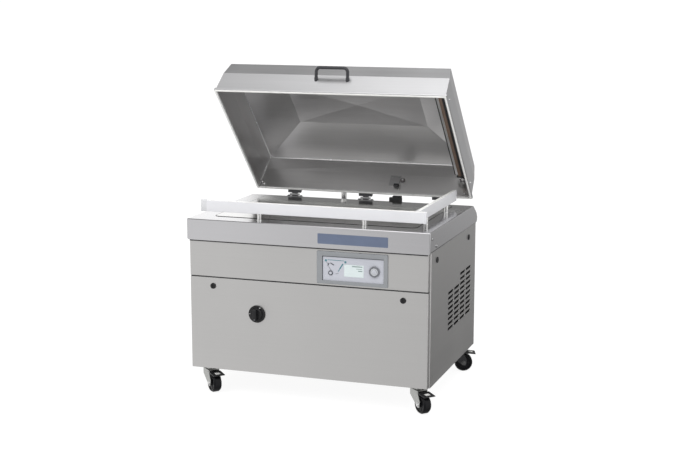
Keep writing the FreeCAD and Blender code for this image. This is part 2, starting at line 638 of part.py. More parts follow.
b = new_body("control_bezel")
pad(b, rect(sketch(b, "XZ_Plane", "-front_y"), "bezel_x0", "bezel_z0", "bezel_x1", "bezel_z1"), "bezel_t")
dress("Fillet", b, "5", lambda e: along(e, "y"))
dress("Chamfer", b, "1.5", lambda e: abs(mid(e).y - num("front_y - bezel_t")) < 1e-3)
pocket(b, rect(sketch(b, "XZ_Plane", "-" + depth("-bezel_t")), "72.6", "530.4", "335.4", "631.4"), "bezel_t + 1")
keep("control_bezel", b)

b = new_body("control_keypad")
pad(b, rect(sketch(b, "XZ_Plane", "-" + depth("2")), "69.5", "526.5", "339.1", "634.5"), "2")
s = sketch(b, "XZ_Plane", "-front_y")
rect(s, "165.7", "550", "250.3", "601")
circle(s, "dial_x", "dial_z", "6 + play")
circle(s, "stop_x", "stop_z", "10.3")
pocket(b, s, "3")
keep("control_keypad", b)
keep("lcd_display", box("lcd_display", "166", depth("-0.4"), "550.3", "250", depth("6"), "600.7"))
board = [box("board_plate", "80", depth("14"), "535", "322", depth("15.6"), "626"),
         box("board_chip", "140", depth("15.6"), "560", "180", depth("19"), "600"),
         box("board_relay", "220", depth("15.6"), "545", "260", depth("32"), "570"),
         box("board_plug", "100", depth("15.6"), "606", "200", depth("26"), "618")]
keep("control_board", fuse("control_board", board))

b = new_body("dial_knob")
turn(b, [("0", "-9"), ("6", "-9"), ("6", "0.6"), ("21.8", "0.6"), ("21.8", "6.6"), ("20.5", "8"), ("15.8", "8"), ("14.9", "6.8"), ("0", "6.8")])
keep("dial_knob", place(b, "dial_x", "front_y", "dial_z", TO_FRONT))
b = new_body("stop_button")
turn(b, [("0", "-6"), ("10", "-6"), ("10", "1.6"), ("9.2", "2.4"), ("0", "2.4")])
keep("stop_button", place(b, "stop_x", "front_y", "stop_z", TO_FRONT))

b = new_body("main_switch_base")
turn(b, [("0", "-50"), ("25.5", "-50"), ("25.5", "0"), ("36.6", "0"), ("36.6", "4.5"), ("35.1", "6"), ("6 + lock_play", "6"), ("6 + lock_play", "-12"), ("0", "-12")])
keep("main_switch_base", place(b, "switch_x", "front_y", "switch_z", TO_FRONT))
b = new_body("main_switch_knob")
turn(b, [("0", "-11"), ("6", "-11"), ("6", "6.4"), ("26", "6.4"), ("26", "13"), ("24", "15"), ("0", "15")])
pad(b, rect(sketch(b, "XY_Plane", "14"), "-7.5", "-24", "7.5", "24"), "19")
dress("Fillet", b, "3", lambda e: e.BoundBox.ZMin > 15.5)
keep("main_switch_knob", place(b, "switch_x", "front_y", "switch_z", TO_FRONT))


def lock(name, x, y, z, rot):
    b = new_body(name)
    turn(b, [("0", "-22"), ("lock_r", "-22"), ("lock_r", "0.3"), ("12.2", "0.3"), ("12.2", "3"), ("11.2", "4"), ("0", "4")])
    pad(b, rect(sketch(b, "XY_Plane", "-22"), "-6", "-8", "6", "30"), "4")
    pocket(b, rect(sketch(b, "XY_Plane", "4"), "-1.6", "-7", "1.6", "7"), "1.8")
    return keep(name, place(b, x, y, z, rot))


lock("lock_front_left", "-lock_x", "front_y", "lock_z", TO_FRONT)
lock("lock_front_right", "lock_x", "front_y", "lock_z", TO_FRONT)
lock("lock_side_front", "body_hw", depth("side_lock_a"), "side_lock_z", TO_X)
lock("lock_side_rear", "body_hw", depth("side_lock_b"), "side_lock_z", TO_X)

# ---------------------------------------------------------------- inside the cabinet
b = new_body("vacuum_pump")
pad(b, rect(sketch(b, "XY_Plane", "cab_bottom + 3"), "-330", depth("250"), "30", depth("500")), "256")
dress("Chamfer", b, "16", lambda e: mid(e).z > num("cab_bottom + 4"))
keep("vacuum_pump", b)
motor = [rod("motor_can", "30", depth("375"), "250", "95", "260", TO_X), rod("motor_boss", "290", depth("375"), "250", "60", "20", TO_X),
         box("motor_foot", "90", depth("315"), "cab_bottom + 3", "230", depth("435"), "200")]
keep("pump_motor", fuse("pump_motor", motor))
hose = {}
for part, r in (("wall", "26"), ("hole", "20")):
    run = [rod("hose_%s_low" % part, "-150", depth("370"), "372", r, "128"),
           rod("hose_%s_across" % part, "-90", depth("370"), "560", r, "30", TO_X),
           rod("hose_%s_top" % part, "0", depth("370"), "620", r, "deck_top - deck_plate - 620")]
    for k, (x, z, start) in enumerate((("-90", "500", 90), ("-60", "620", -90))):
        o = doc.addObject("Part::Torus", "hose_%s_bend_%d" % (part, k))
        bind(o, Radius1="60", Radius2=r)
        o.Angle3 = 90
        run.append(place(o, x, depth("370"), z, Rot(V(1, 0, 0), 90).multiply(Rot(V(0, 0, 1), start))))
    hose[part] = fuse("hose_" + part, run)
keep("vacuum_hose", cut("vacuum_hose", hose["wall"], hose["hole"]))
coil = [box("transformer_core", "-490", depth("560"), "cab_bottom + 3", "-330", depth("690"), "250"),
        box("transformer_top", "-460", depth("575"), "249", "-360", depth("675"), "280")]
keep("seal_transformer", fuse("seal_transformer", coil))
b = new_body("cable_gland")
turn(b, [("gland_r", "-12"), ("10", "-12"), ("10", "0"), ("15", "0"), ("15", "6"), ("12", "8"), ("11.4", "22"), ("9", "26"), ("gland_r", "26")])
keep("cable_gland", place(b, "gland_x", depth("cab_d"), "gland_z", TO_REAR))

# ---------------------------------------------------------------- casters
CASTERS = [("fl", "(caster_shift - caster_x)", "caster_front", -42.0), ("fr", "(caster_shift + caster_x)", "caster_front", -42.0),
           ("rl", "-caster_x", "caster_rear", 161.0), ("rr", "caster_x", "caster_rear", 19.0)]
plates = []
for tag, x, y, angle in CASTERS:
    blank = fuse("caster_plate_blank_" + tag, [
        box("caster_flange_" + tag, "%s - 36" % x, depth("%s - 36" % y), "cab_bottom - 4", "%s + 36" % x, depth("%s + 36" % y), "cab_bottom"),
        rod("caster_boss_" + tag, x, depth(y), "101", "20", "10")])
    plates.append(cut("caster_plate_" + tag, blank, rod("caster_bore_" + tag, x, depth(y), "100", "king_r + play", "11.6")))
group("caster_plates", plates)

for tag, x, y, angle in CASTERS:
    spot = FreeCAD.Placement(V(num(x), num(depth(y)), 0), Rot(V(0, 0, 1), angle))
    b = new_body("fork_body_" + tag)
    pad(b, rect(sketch(b, "XY_Plane", "92"), "-24", "-25", "30", "25"), "4")
    pad(b, circle(sketch(b, "XY_Plane", "95"), "0", "0", "19"), "5.4")
    pad(b, circle(sketch(b, "XY_Plane", "100"), "0", "0", "king_r"), "10.6")
    cheek = [("-24", "96"), ("30", "96"), ("50", "54"), ("47", "30"), ("40", "27"), ("31", "29"), ("-24", "72")]
    pad(b, polygon(sketch(b, "XZ_Plane", "22"), cheek), "3")
    pad(b, polygon(sketch(b, "XZ_Plane", "-25"), cheek), "3")
    s = sketch(b, "XZ_Plane", "25")
    circle(s, "trail", "wheel_r", "axle_r + 0.02")
    circle(s, "26", "87.5", "2.52")
    pocket(b, s, "50")
    parts = [b]
    for name, at, r, half in (("axle_" + tag, V(36, 0, 40), "axle_r", 28.0), ("pedal_pin_" + tag, V(26, 0, 87.5), "2.5", 26.0)):
        o = doc.addObject("Part::Cylinder", name)
        bind(o, Radius=r, Height=str(2 * half))
        o.Placement = FreeCAD.Placement(at + V(0, -half, 0), TO_REAR)
        parts.append(o)
    group("caster_fork_" + tag, parts).Placement = spot

    b = new_body("caster_wheel_" + tag)
    turn(b, [("axle_r + play", "-20.5"), ("10", "-20.5"), ("11", "-15"), ("29", "-15"), ("31", "-17.5"), ("35.5", "-17.5"), ("wheel_r", "-11"),
             ("wheel_r", "11"), ("35.5", "17.5"), ("31", "17.5"), ("29", "15"), ("11", "15"), ("10", "20.5"), ("axle_r + play", "20.5")])
    keep("caster_wheel_" + tag, b).Placement = spot.multiply(FreeCAD.Placement(V(36, 0, 40), TO_REAR))

    b = new_body("caster_pedal_" + tag)
    s = sketch(b, "XZ_Plane", "-19")
    pad(b, polygon(s, [("26", "84.2"), ("30", "84.6"), ("46", "84.9"), ("46", "88.6"), ("29", "88.8"), ("26", "90.8")]), "38")
    s = sketch(b, "XZ_Plane", "-26")
    pad(b, polygon(s, [("40", "85.2"), ("88", "80.4"), ("89.4", "82.6"), ("87", "84.2"), ("40", "89.8")]), "52")
    pad(b, circle(sketch(b, "XZ_Plane", "-19"), "26", "87.5", "4.2"), "38")
    pocket(b, circle(sketch(b, "XZ_Plane", "19"), "26", "87.5", "2.5 + play"), "38")
    keep("caster_pedal_" + tag, b).Placement = spot

# ---------------------------------------------------------------- check and write
doc.recompute()
bad = []
for o in doc.Objects:
    if "Invalid" in o.State or "Error" in o.State:
        bad.append("%s: %s" % (o.Label, o.State))
for o in NODES:
    if o.Shape.isNull() or not o.Shape.isValid() or not o.Shape.Solids:
        bad.append("%s: bad shape" % o.Label)
if bad:
    raise RuntimeError("; ".join(bad))
os.makedirs("parts", exist_ok=True)
whole = FreeCAD.BoundBox()
for o in NODES:
    o.Shape.exportStep("parts/%s.step" % o.Label)
    whole.add(o.Shape.BoundBox)
print("%d nodes, box %s" % (len(NODES), whole))
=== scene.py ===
import json
import math

import bmesh
import bpy
from mathutils import Matrix, Vector


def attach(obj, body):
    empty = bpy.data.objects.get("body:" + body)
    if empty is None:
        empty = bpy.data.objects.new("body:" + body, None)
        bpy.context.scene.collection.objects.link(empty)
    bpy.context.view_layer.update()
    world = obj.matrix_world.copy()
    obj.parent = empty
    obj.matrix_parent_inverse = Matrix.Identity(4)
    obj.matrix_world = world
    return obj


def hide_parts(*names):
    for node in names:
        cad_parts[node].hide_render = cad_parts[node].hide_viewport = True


# Floor-standing chamber vacuum sealer with its lid open.
# Metres. +X is the operator's right, +Y runs to the rear, +Z is up, the floor is Z = 0.

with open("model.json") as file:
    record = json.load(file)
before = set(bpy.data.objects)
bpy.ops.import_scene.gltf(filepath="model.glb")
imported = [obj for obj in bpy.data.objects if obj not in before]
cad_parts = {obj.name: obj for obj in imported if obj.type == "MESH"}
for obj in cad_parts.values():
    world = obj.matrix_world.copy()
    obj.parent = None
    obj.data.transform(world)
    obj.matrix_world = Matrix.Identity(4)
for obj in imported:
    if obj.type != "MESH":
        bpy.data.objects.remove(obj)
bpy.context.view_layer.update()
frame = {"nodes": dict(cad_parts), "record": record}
NODES = frame["nodes"]
scene = bpy.context.scene
scene.view_settings.view_transform = "Standard"
scene.view_settings.look = "None"

FRONT = -0.3986                      # the cabinet's front plane
HINGE = Vector((0, FRONT + 0.731964, 0.741578))
OPEN = math.radians(46.3)
LID = Matrix.Translation(HINGE) @ Matrix.Rotation(-OPEN, 4, "X") @ Matrix.Translation(-HINGE)
SHELL = Matrix.Translation((0.005, 0, 0)) @ LID     # the lid shell stands a little right of the cabinet's middle
SLOPE = math.radians(33)


def at(x, d, z):
    """Millimetres across, behind the front plane and above the floor, as a point in metres."""
    return Vector((x / 1000, FRONT + d / 1000, z / 1000))


# ---------------------------------------------------------------- camera, floor and light
cam = bpy.data.cameras.new("camera")
cam.sensor_width, cam.lens, cam.clip_end = 36.0, 71.51, 500
eye = bpy.data.objects.new("camera", cam)
eye.location = (1.9465, -5.5378, 1.7377)
eye.rotation_euler = (math.radians(90 - 10.37), 0, math.radians(19.07))
scene.collection.objects.link(eye)
scene.camera = eye


def link(nt, a, b):
    nt.links.new(a, b)


def math_node(nt, kind, a, b=None):
    n = nt.nodes.new("ShaderNodeMath")
    n.operation = kind
    for i, v in enumerate((a, b)):
        if v is None:
            continue
        if isinstance(v, (int, float)):
            n.inputs[i].default_value = v
        else:
            link(nt, v, n.inputs[i])
    return n.outputs[0]


def span(nt, value, a, b, lo, hi, smooth=False):
    n = nt.nodes.new("ShaderNodeMapRange")
    if smooth:
        n.interpolation_type = "SMOOTHSTEP"
    link(nt, value, n.inputs["Value"])
    for key, v in (("From Min", a), ("From Max", b), ("To Min", lo), ("To Max", hi)):
        n.inputs[key].default_value = v
    return n.outputs["Result"]


def facing(nt, vector, way):
    n = nt.nodes.new("ShaderNodeVectorMath")
    n.operation = "DOT_PRODUCT"
    link(nt, vector, n.inputs[0])
    n.inputs[1].default_value = Vector(way).normalized()
    return n.outputs["Value"]


FRONT_LEFT, FRONT_RIGHT, BELOW, REAR_DARK = 1.04, 0.74, 0.86, 0.25      # brightness of the studio round the object

world = bpy.data.worlds.new("studio")
scene.world = world
world.use_nodes = True
nt = world.node_tree
nt.nodes.clear()
sky_out = nt.nodes.new("ShaderNodeOutputWorld")
ways = nt.nodes.new("ShaderNodeTexCoord").outputs["Generated"]
parts = nt.nodes.new("ShaderNodeSeparateXYZ")
link(nt, ways, parts.inputs[0])
way_x, way_y, way_z = parts.outputs


def times(*terms):
    out = terms[0]
    for t in terms[1:]:
        out = math_node(nt, "MULTIPLY", out, t)
    return out


def band(value, a, b, c, d):
    """1 between b and c, falling to 0 at a and d."""
    return times(span(nt, value, a, b, 0.0, 1.0, True), span(nt, value, c, d, 1.0, 0.0, True))


def blend(a, b, weight):
    """a where the weight is 0, b where it is 1."""
    keep = math_node(nt, "MULTIPLY", a, math_node(nt, "SUBTRACT", 1.0, weight))
    return math_node(nt, "ADD", keep, math_node(nt, "MULTIPLY", b, weight))


DEG = math.pi / 180
front_turn = math_node(nt, "ARCTAN2", way_x, math_node(nt, "MULTIPLY", way_y, -1.0))
rear_turn = math_node(nt, "ARCTAN2", way_x, way_y)
level = span(nt, way_x, -0.42, -0.24, FRONT_LEFT, FRONT_RIGHT)
level = times(level, span(nt, band(front_turn, -4 * DEG, 8 * DEG, 38 * DEG, 50 * DEG), 0.0, 1.0, 1.0, 0.50))
level = times(level, span(nt, way_z, -0.65, -0.35, BELOW, 1.0, True))
corner = span(nt, facing(nt, ways, (0.80, 0.60, -0.12)), 0.15, 0.92, 0.0, 1.0, True)
level = blend(level, span(nt, way_z, -0.27, -0.16, 0.12, 0.45), corner)
level = math_node(nt, "ADD", level, times(band(front_turn, 46 * DEG, 58 * DEG, 104 * DEG, 118 * DEG), band(way_z, -0.75, -0.5, 0.4, 0.6), 0.60))
level = blend(level, REAR_DARK, times(band(rear_turn, -23.4 * DEG, -21.8 * DEG, -2 * DEG, 8 * DEG), band(way_z, 0.02, 0.07, 0.26, 0.36)))
level = math_node(nt, "ADD", level, times(band(rear_turn, -58 * DEG, -46 * DEG, -23.4 * DEG, -22.0 * DEG), band(way_z, -0.05, 0.02, 0.30, 0.42), 0.30))
across = span(nt, way_x, -0.42, -0.26, 0.0, 1.0)
above = blend(span(nt, across, 0.0, 1.0, 0.40, 2.05), span(nt, across, 0.0, 1.0, 0.12, 0.52), span(nt, way_y, 0.12, 0.30, 0.0, 1.0, True))
level = blend(level, above, span(nt, way_z, 0.36, 0.58, 0.0, 1.0, True))
sky = nt.nodes.new("ShaderNodeBackground")
link(nt, level, sky.inputs["Strength"])
sky.inputs["Color"].default_value = (1.0, 0.997, 0.994, 1)
plain = nt.nodes.new("ShaderNodeBackground")                  # the backdrop itself is plain white
plain.inputs["Color"].default_value = (1.0, 1.0, 1.0, 1)
plain.inputs["Strength"].default_value = 1.05
pick = nt.nodes.new("ShaderNodeMixShader")
link(nt, nt.nodes.new("ShaderNodeLightPath").outputs["Is Camera Ray"], pick.inputs[0])
link(nt, sky.outputs[0], pick.inputs[1])
link(nt, plain.outputs[0], pick.inputs[2])
link(nt, pick.outputs[0], sky_out.inputs[0])

bm = bmesh.new()
bmesh.ops.create_circle(bm, cap_ends=True, radius=180, segments=64)
me = bpy.data.meshes.new("floor")
bm.to_mesh(me)
bm.free()
floor = bpy.data.objects.new("floor", me)
floor.location.z = -0.0006
scene.collection.objects.link(floor)
floor.visible_glossy = False


def lamp(name, where, to, size, power):
    data = bpy.data.lights.new(name, "AREA")
    data.shape, data.size, data.size_y, data.energy = "RECTANGLE", size[0], size[1], power
    ob = bpy.data.objects.new(name, data)
    ob.location = where
    ob.rotation_euler = (Vector(to) - Vector(where)).to_track_quat("-Z", "Y").to_euler()
    scene.collection.objects.link(ob)
    ob.visible_glossy = False
    return ob


lamp("key", (-2.6, -4.2, 4.2), (0, 0, 0.6), (3.2, 3.2), 82)
lamp("top", (0.6, -0.6, 4.6), (0, 0, 0.6), (3.4, 2.4), 45)


# ---------------------------------------------------------------- materials
def blank(name):
    m = bpy.data.materials.new(name)
    m.use_nodes = True
    nt = m.node_tree
    nt.nodes.clear()
    out = nt.nodes.new("ShaderNodeOutputMaterial")
    p = nt.nodes.new("ShaderNodeBsdfPrincipled")
    link(nt, p.outputs[0], out.inputs[0])
    return m, nt, p


def place(nt, scale=(1, 1, 1), turn=None):
    v = nt.nodes.new("ShaderNodeTexCoord").outputs["Object"]
    for kind, value in (("Rotation", turn), ("Scale", scale)):
        if value is not None:
            n = nt.nodes.new("ShaderNodeMapping")
            n.inputs[kind].default_value = value
            link(nt, v, n.inputs[0])
            v = n.outputs[0]
    return v


def noise(nt, vector, scale=1.0, detail=4.0, rough=0.55):
    n = nt.nodes.new("ShaderNodeTexNoise")
    link(nt, vector, n.inputs["Vector"])
    n.inputs["Scale"].default_value = scale
    n.inputs["Detail"].default_value = detail
    n.inputs["Roughness"].default_value = rough
    return n.outputs["Fac"]


def shades(nt, factor, a, b):
    n = nt.nodes.new("ShaderNodeMix")
    n.data_type = "RGBA"
    link(nt, factor, n.inputs["Factor"])
    n.inputs["A"].default_value = (*a, 1) if len(a) == 3 else a
    n.inputs["B"].default_value = (*b, 1) if len(b) == 3 else b
    for s in n.inputs:
        if s.type == "RGBA":
            s.default_value = (*(a if s.identifier.startswith("A") else b), 1)
    return [o for o in n.outputs if o.type == "RGBA"][0]


def bump(nt, p, height, strength, distance):
    n = nt.nodes.new("ShaderNodeBump")
    n.inputs["Strength"].default_value = strength
    n.inputs["Distance"].default_value = distance
    link(nt, height, n.inputs["Height"])
    link(nt, n.outputs[0], p.inputs["Normal"])


def tint(c, k):
    return tuple(min(1.0, x * k) for x in c)


def brushed(name, colour, rough, spread=0.07, streak=0.07, relief=0.10, turn=None, metal=1.0, painted_inner_lift=None):
    """Sheet steel with its grain along the sheet: across on faces that look forward or up, front to back on the ends.
    Faces turned toward a given inner point can take a lighter copy of the colour: painted light on the inside faces.
    """
    m, nt, p = blank(name)
    geo = nt.nodes.new("ShaderNodeNewGeometry")
    sep = nt.nodes.new("ShaderNodeSeparateXYZ")
    link(nt, geo.outputs["Normal"], sep.inputs[0])
    ends = math_node(nt, "GREATER_THAN", math_node(nt, "ABSOLUTE", sep.outputs[0]), 0.6)

    def grain(along, across, detail):
        a = place(nt, (along, across, across), turn)
        b = place(nt, (across, along, across), turn)
        n = nt.nodes.new("ShaderNodeMix")
        n.data_type = "VECTOR"
        link(nt, ends, n.inputs["Factor"])
        sockets = {s.identifier: s for s in n.inputs}
        link(nt, a, sockets["A_Vector"])
        link(nt, b, sockets["B_Vector"])
        return noise(nt, [o for o in n.outputs if o.type == "VECTOR"][0], 1.0, detail, 0.6)

    fine = grain(3.0, 620.0, 3.0)
    wide = grain(0.9, 75.0, 4.0)
    cloud = noise(nt, place(nt), 3.2, 3.0)
    mixed = math_node(nt, "ADD", math_node(nt, "MULTIPLY", wide, 0.62),
                      math_node(nt, "MULTIPLY", fine, 0.38))
    tone = span(nt, mixed, 0.30, 0.70, 0.0, 1.0)
    shade = shades(nt, tone, tint(colour, 1 - streak), tint(colour, 1 + streak))
    # inner faces (normals toward the given point) get a lighter copy of the colour: painted light lifting the inside of
    # the lid
    if painted_inner_lift:
        where = nt.nodes.new("ShaderNodeTexCoord")
        inward = nt.nodes.new("ShaderNodeVectorMath")
        inward.operation = "SUBTRACT"
        inward.inputs[0].default_value = painted_inner_lift[0]
        link(nt, where.outputs["Object"], inward.inputs[1])
        turned = nt.nodes.new("ShaderNodeVectorMath")
        turned.operation = "DOT_PRODUCT"
        link(nt, inward.outputs["Vector"], turned.inputs[0])
        link(nt, where.outputs["Normal"], turned.inputs[1])
        inner_lift_mask = math_node(nt, "GREATER_THAN", turned.outputs["Value"], 0.0)
        both = nt.nodes.new("ShaderNodeMix")
        both.data_type = "RGBA"
        link(nt, inner_lift_mask, both.inputs["Factor"])
        sockets = {k.identifier: k for k in both.inputs}
        link(nt, shade, sockets["A_Color"])
        link(nt, shades(nt, tone, tint(painted_inner_lift[1], 1 - streak), tint(painted_inner_lift[1], 1 + streak)), sockets["B_Color"])
        shade = [o for o in both.outputs if o.type == "RGBA"][0]
    link(nt, shade, p.inputs["Base Color"])
    r = math_node(nt, "ADD", span(nt, wide, 0.25, 0.75, rough - spread, rough + spread),
                  span(nt, cloud, 0.3, 0.7, -0.03, 0.03))
    link(nt, r, p.inputs["Roughness"])
    p.inputs["Metallic"].default_value = metal
    bump(nt, p, fine, relief, 0.0004)
    return m


def grained(name, colour, rough, metal=0.0, cell=900.0, relief=0.12, streak=0.08, depth=0.0004, coat=0.0, specular=0.5):
    """Moulded or coated surface: a fine skin texture over slow shifts of tone."""
    m, nt, p = blank(name)
    v = place(nt)
    slow, skin = noise(nt, v, 14.0, 4.0), noise(nt, v, cell, 2.0)
    link(nt, shades(nt, span(nt, slow, 0.3, 0.7, 0.0, 1.0), tint(colour, 1 - streak), tint(colour, 1 + streak)),
         p.inputs["Base Color"])
    link(nt, span(nt, slow, 0.3, 0.7, rough - 0.05, rough + 0.05), p.inputs["Roughness"])
    p.inputs["Metallic"].default_value = metal
    p.inputs["Specular IOR Level"].default_value = specular
    if coat:
        p.inputs["Coat Weight"].default_value = coat
        p.inputs["Coat Roughness"].default_value = 0.12
    bump(nt, p, skin, relief, depth)
    return m


def plated(name, colour, rough):
    """Zinc plate: a faint patchwork of crystals."""
    m, nt, p = blank(name)
    v = place(nt)
    vor = nt.nodes.new("ShaderNodeTexVoronoi")
    link(nt, v, vor.inputs["Vector"])
    vor.inputs["Scale"].default_value = 160.0
    sep = nt.nodes.new("ShaderNodeSeparateColor")
    link(nt, vor.outputs["Color"], sep.inputs[0])
    slow = noise(nt, v, 40.0, 4.0)
    both = math_node(nt, "ADD", math_node(nt, "MULTIPLY", sep.outputs[0], 0.5), math_node(nt, "MULTIPLY", slow, 0.5))
    link(nt, shades(nt, span(nt, both, 0.2, 0.8, 0.0, 1.0), tint(colour, 0.86), tint(colour, 1.12)), p.inputs["Base Color"])
    link(nt, span(nt, both, 0.2, 0.8, rough - 0.07, rough + 0.07), p.inputs["Roughness"])
    p.inputs["Metallic"].default_value = 1.0
    bump(nt, p, slow, 0.08, 0.0004)
    return m


LEAN = (OPEN, 0, 0)
STEEL = (0.56, 0.555, 0.55)
M = {
    "sheet_steel": brushed("sheet_steel", STEEL, 0.38, 0.03, 0.022, 0.035),
    "deck_steel": brushed("deck_steel", (0.525, 0.522, 0.536), 0.13, 0.02, 0.018, 0.15),
    "plate_steel": brushed("plate_steel", (0.58, 0.58, 0.575), 0.11, 0.02, 0.018, 0.09),
    # the lid's inner faces are painted lighter than its outer faces: painted light, the same steel inside and out
    "lid_steel": brushed("lid_steel", (0.57, 0.57, 0.58), 0.32, 0.03, 0.035, 0.035, LEAN, painted_inner_lift=(SHELL @ at(0, 352, 835), (0.655, 0.65, 0.65))),
    "polished_steel": grained("polished_steel", (0.78, 0.78, 0.77), 0.12, 1.0, 500.0, 0.03, 0.04),
    "seal_aluminium": grained("seal_aluminium", (0.64, 0.642, 0.665), 0.42, 0.0, 1200.0, 0.10, 0.02, coat=0.15),
    "seal_tape": grained("seal_tape", (0.82, 0.82, 0.80), 0.35, 0.0, 2400.0, 0.20, 0.03),
    "seal_cap": grained("seal_cap", (0.56, 0.565, 0.58), 0.45, 0.0, 1200.0, 0.12, 0.03),
    "heat_wire": grained("heat_wire", (0.55, 0.53, 0.50), 0.35, 1.0, 700.0, 0.06, 0.06),
    "counter_aluminium": grained("counter_aluminium", (0.70, 0.70, 0.70), 0.36, 1.0, 800.0, 0.10, 0.06),
    "silicone": grained("silicone", (0.17, 0.115, 0.085), 0.55, 0.0, 1500.0, 0.14, 0.14),
    "gasket_silicone": grained("gasket_silicone", (0.80, 0.80, 0.78), 0.5, 0.0, 1500.0, 0.10, 0.03),
    "seal_rubber": grained("seal_rubber", (0.022, 0.022, 0.023), 0.62, 0.0, 1300.0, 0.20, 0.15),
    "hinge_steel": grained("hinge_steel", (0.085, 0.085, 0.09), 0.46, 0.35, 1100.0, 0.15, 0.12),
    "spring_steel": grained("spring_steel", (0.42, 0.42, 0.42), 0.32, 1.0, 900.0, 0.08, 0.08),
    "grip_plastic": grained("grip_plastic", (0.026, 0.026, 0.030), 0.30, 0.0, 1400.0, 0.18, 0.10),
    "black_plastic": grained("black_plastic", (0.010, 0.010, 0.011), 0.38, 0.0, 1400.0, 0.14, 0.15, specular=0.28),
    "label_plastic": grained("label_plastic", (0.092, 0.118, 0.185), 0.38, 0.0, 1800.0, 0.08, 0.07, coat=0.3),
    "bezel_plastic": grained("bezel_plastic", (0.225, 0.235, 0.248), 0.46, 0.0, 1500.0, 0.20, 0.04),
    "keypad_plastic": grained("keypad_plastic", (0.455, 0.466, 0.515), 0.36, 0.15, 2000.0, 0.08, 0.03),
    "screen": grained("screen", (0.565, 0.63, 0.635), 0.16, 0.0, 600.0, 0.01, 0.02, coat=0.6),
    "dial_plastic": grained("dial_plastic", (0.14, 0.145, 0.16), 0.42, 0.0, 1500.0, 0.18, 0.08),
    "dial_cap": grained("dial_cap", (0.55, 0.565, 0.60), 0.33, 0.3, 1500.0, 0.08, 0.04),
    # dark print on the key plate and the stop ring; on the keypad recess strips it is painted shadow
    "dark_print_and_shade": grained("dark_print_and_shade", (0.045, 0.05, 0.06), 0.5, 0.0, 2000.0, 0.05, 0.08),
    "mark_teal": grained("mark_teal", (0.05, 0.17, 0.20), 0.45, 0.0, 2000.0, 0.05, 0.08),
    "mark_light": grained("mark_light", (0.74, 0.74, 0.74), 0.5, 0.0, 2000.0, 0.05, 0.03),
    "mark_lcd": grained("mark_lcd", (0.17, 0.23, 0.22), 0.4, 0.0, 2000.0, 0.03, 0.05),
    "board_green": grained("board_green", (0.03, 0.16, 0.07), 0.4, 0.0, 400.0, 0.1, 0.15),
    "cast_grey": grained("cast_grey", (0.32, 0.33, 0.34), 0.55, 0.6, 500.0, 0.4, 0.10),
    "motor_paint": grained("motor_paint", (0.10, 0.12, 0.15), 0.45, 0.0, 600.0, 0.2, 0.10),
    "hose_rubber": grained("hose_rubber", (0.03, 0.03, 0.03), 0.6, 0.0, 500.0, 0.3, 0.15),
    "core_steel": grained("core_steel", (0.14, 0.13, 0.13), 0.55, 0.6, 700.0, 0.3, 0.15),
    "zinc_steel": plated("zinc_steel", (0.42, 0.424, 0.412), 0.36),
    "wheel_rubber": grained("wheel_rubber", (0.006, 0.006, 0.0072), 0.30, 0.0, 900.0, 0.22, 0.2, specular=0.14),
    "hub_plastic": grained("hub_plastic", (0.010, 0.010, 0.011), 0.28, 0.0, 1200.0, 0.12, 0.15, specular=0.22),
    # near-black copy of the caster fork finish: painted shade for the rear casters
    "fork_shaded": grained("fork_shaded", (0.022, 0.022, 0.024), 0.40, 0.0, 1000.0, 0.16, 0.15, specular=0.35),
    "bracket_steel": grained("bracket_steel", (0.46, 0.46, 0.465), 0.30, 1.0, 900.0, 0.06, 0.08),
    "roll_steel": grained("roll_steel", (0.52, 0.52, 0.525), 0.34, 1.0, 900.0, 0.08, 0.08),
    "screw_dull": grained("screw_dull", (0.38, 0.38, 0.385), 0.30, 1.0, 700.0, 0.06, 0.08),
    "tread_plate": grained("tread_plate", (0.56, 0.56, 0.55), 0.36, 0.2, 700.0, 0.10, 0.06),
    "weld": grained("weld", (0.93, 0.925, 0.93), 0.24, 1.0, 420.0, 0.15, 0.05),
    "screw_steel": grained("screw_steel", (0.66, 0.66, 0.66), 0.24, 1.0, 700.0, 0.06, 0.08),
    # dark copy of the screw steel: painted shade for the rear casters' axle nuts
    "screw_shaded": grained("screw_shaded", (0.10, 0.10, 0.10), 0.35, 0.6, 700.0, 0.10, 0.10),
}
m, nt, p = blank("floor_pale")
link(nt, shades(nt, noise(nt, place(nt), 1.5, 3.0), (0.155, 0.155, 0.155), (0.165, 0.165, 0.165)), p.inputs["Base Color"])
p.inputs["Roughness"].default_value = 0.95
p.inputs["Specular IOR Level"].default_value = 0.0
p.inputs["Emission Color"].default_value = (1, 1, 1, 1)
p.inputs["Emission Strength"].default_value = 0.90
floor.data.materials.append(m)

for row in frame["record"]["subparts"]:
    o = NODES[row["node"]]
    o.data.materials.clear()
    o.data.materials.append(M[row["material_slot"]])


def paint(node, material):
    NODES[node].data.materials.clear()
    NODES[node].data.materials.append(M[material])


paint("work_plate", "plate_steel")
paint("lid_backing_bracket", "bracket_steel")
for tag in ("fl", "fr", "rl", "rr"):
    paint("caster_pedal_" + tag, "black_plastic")
# the rear forks take a near-black copy instead of the front forks' zinc: painted shade on the rear casters
for tag in ("rl", "rr"):
    paint("caster_fork_" + tag, "fork_shaded")


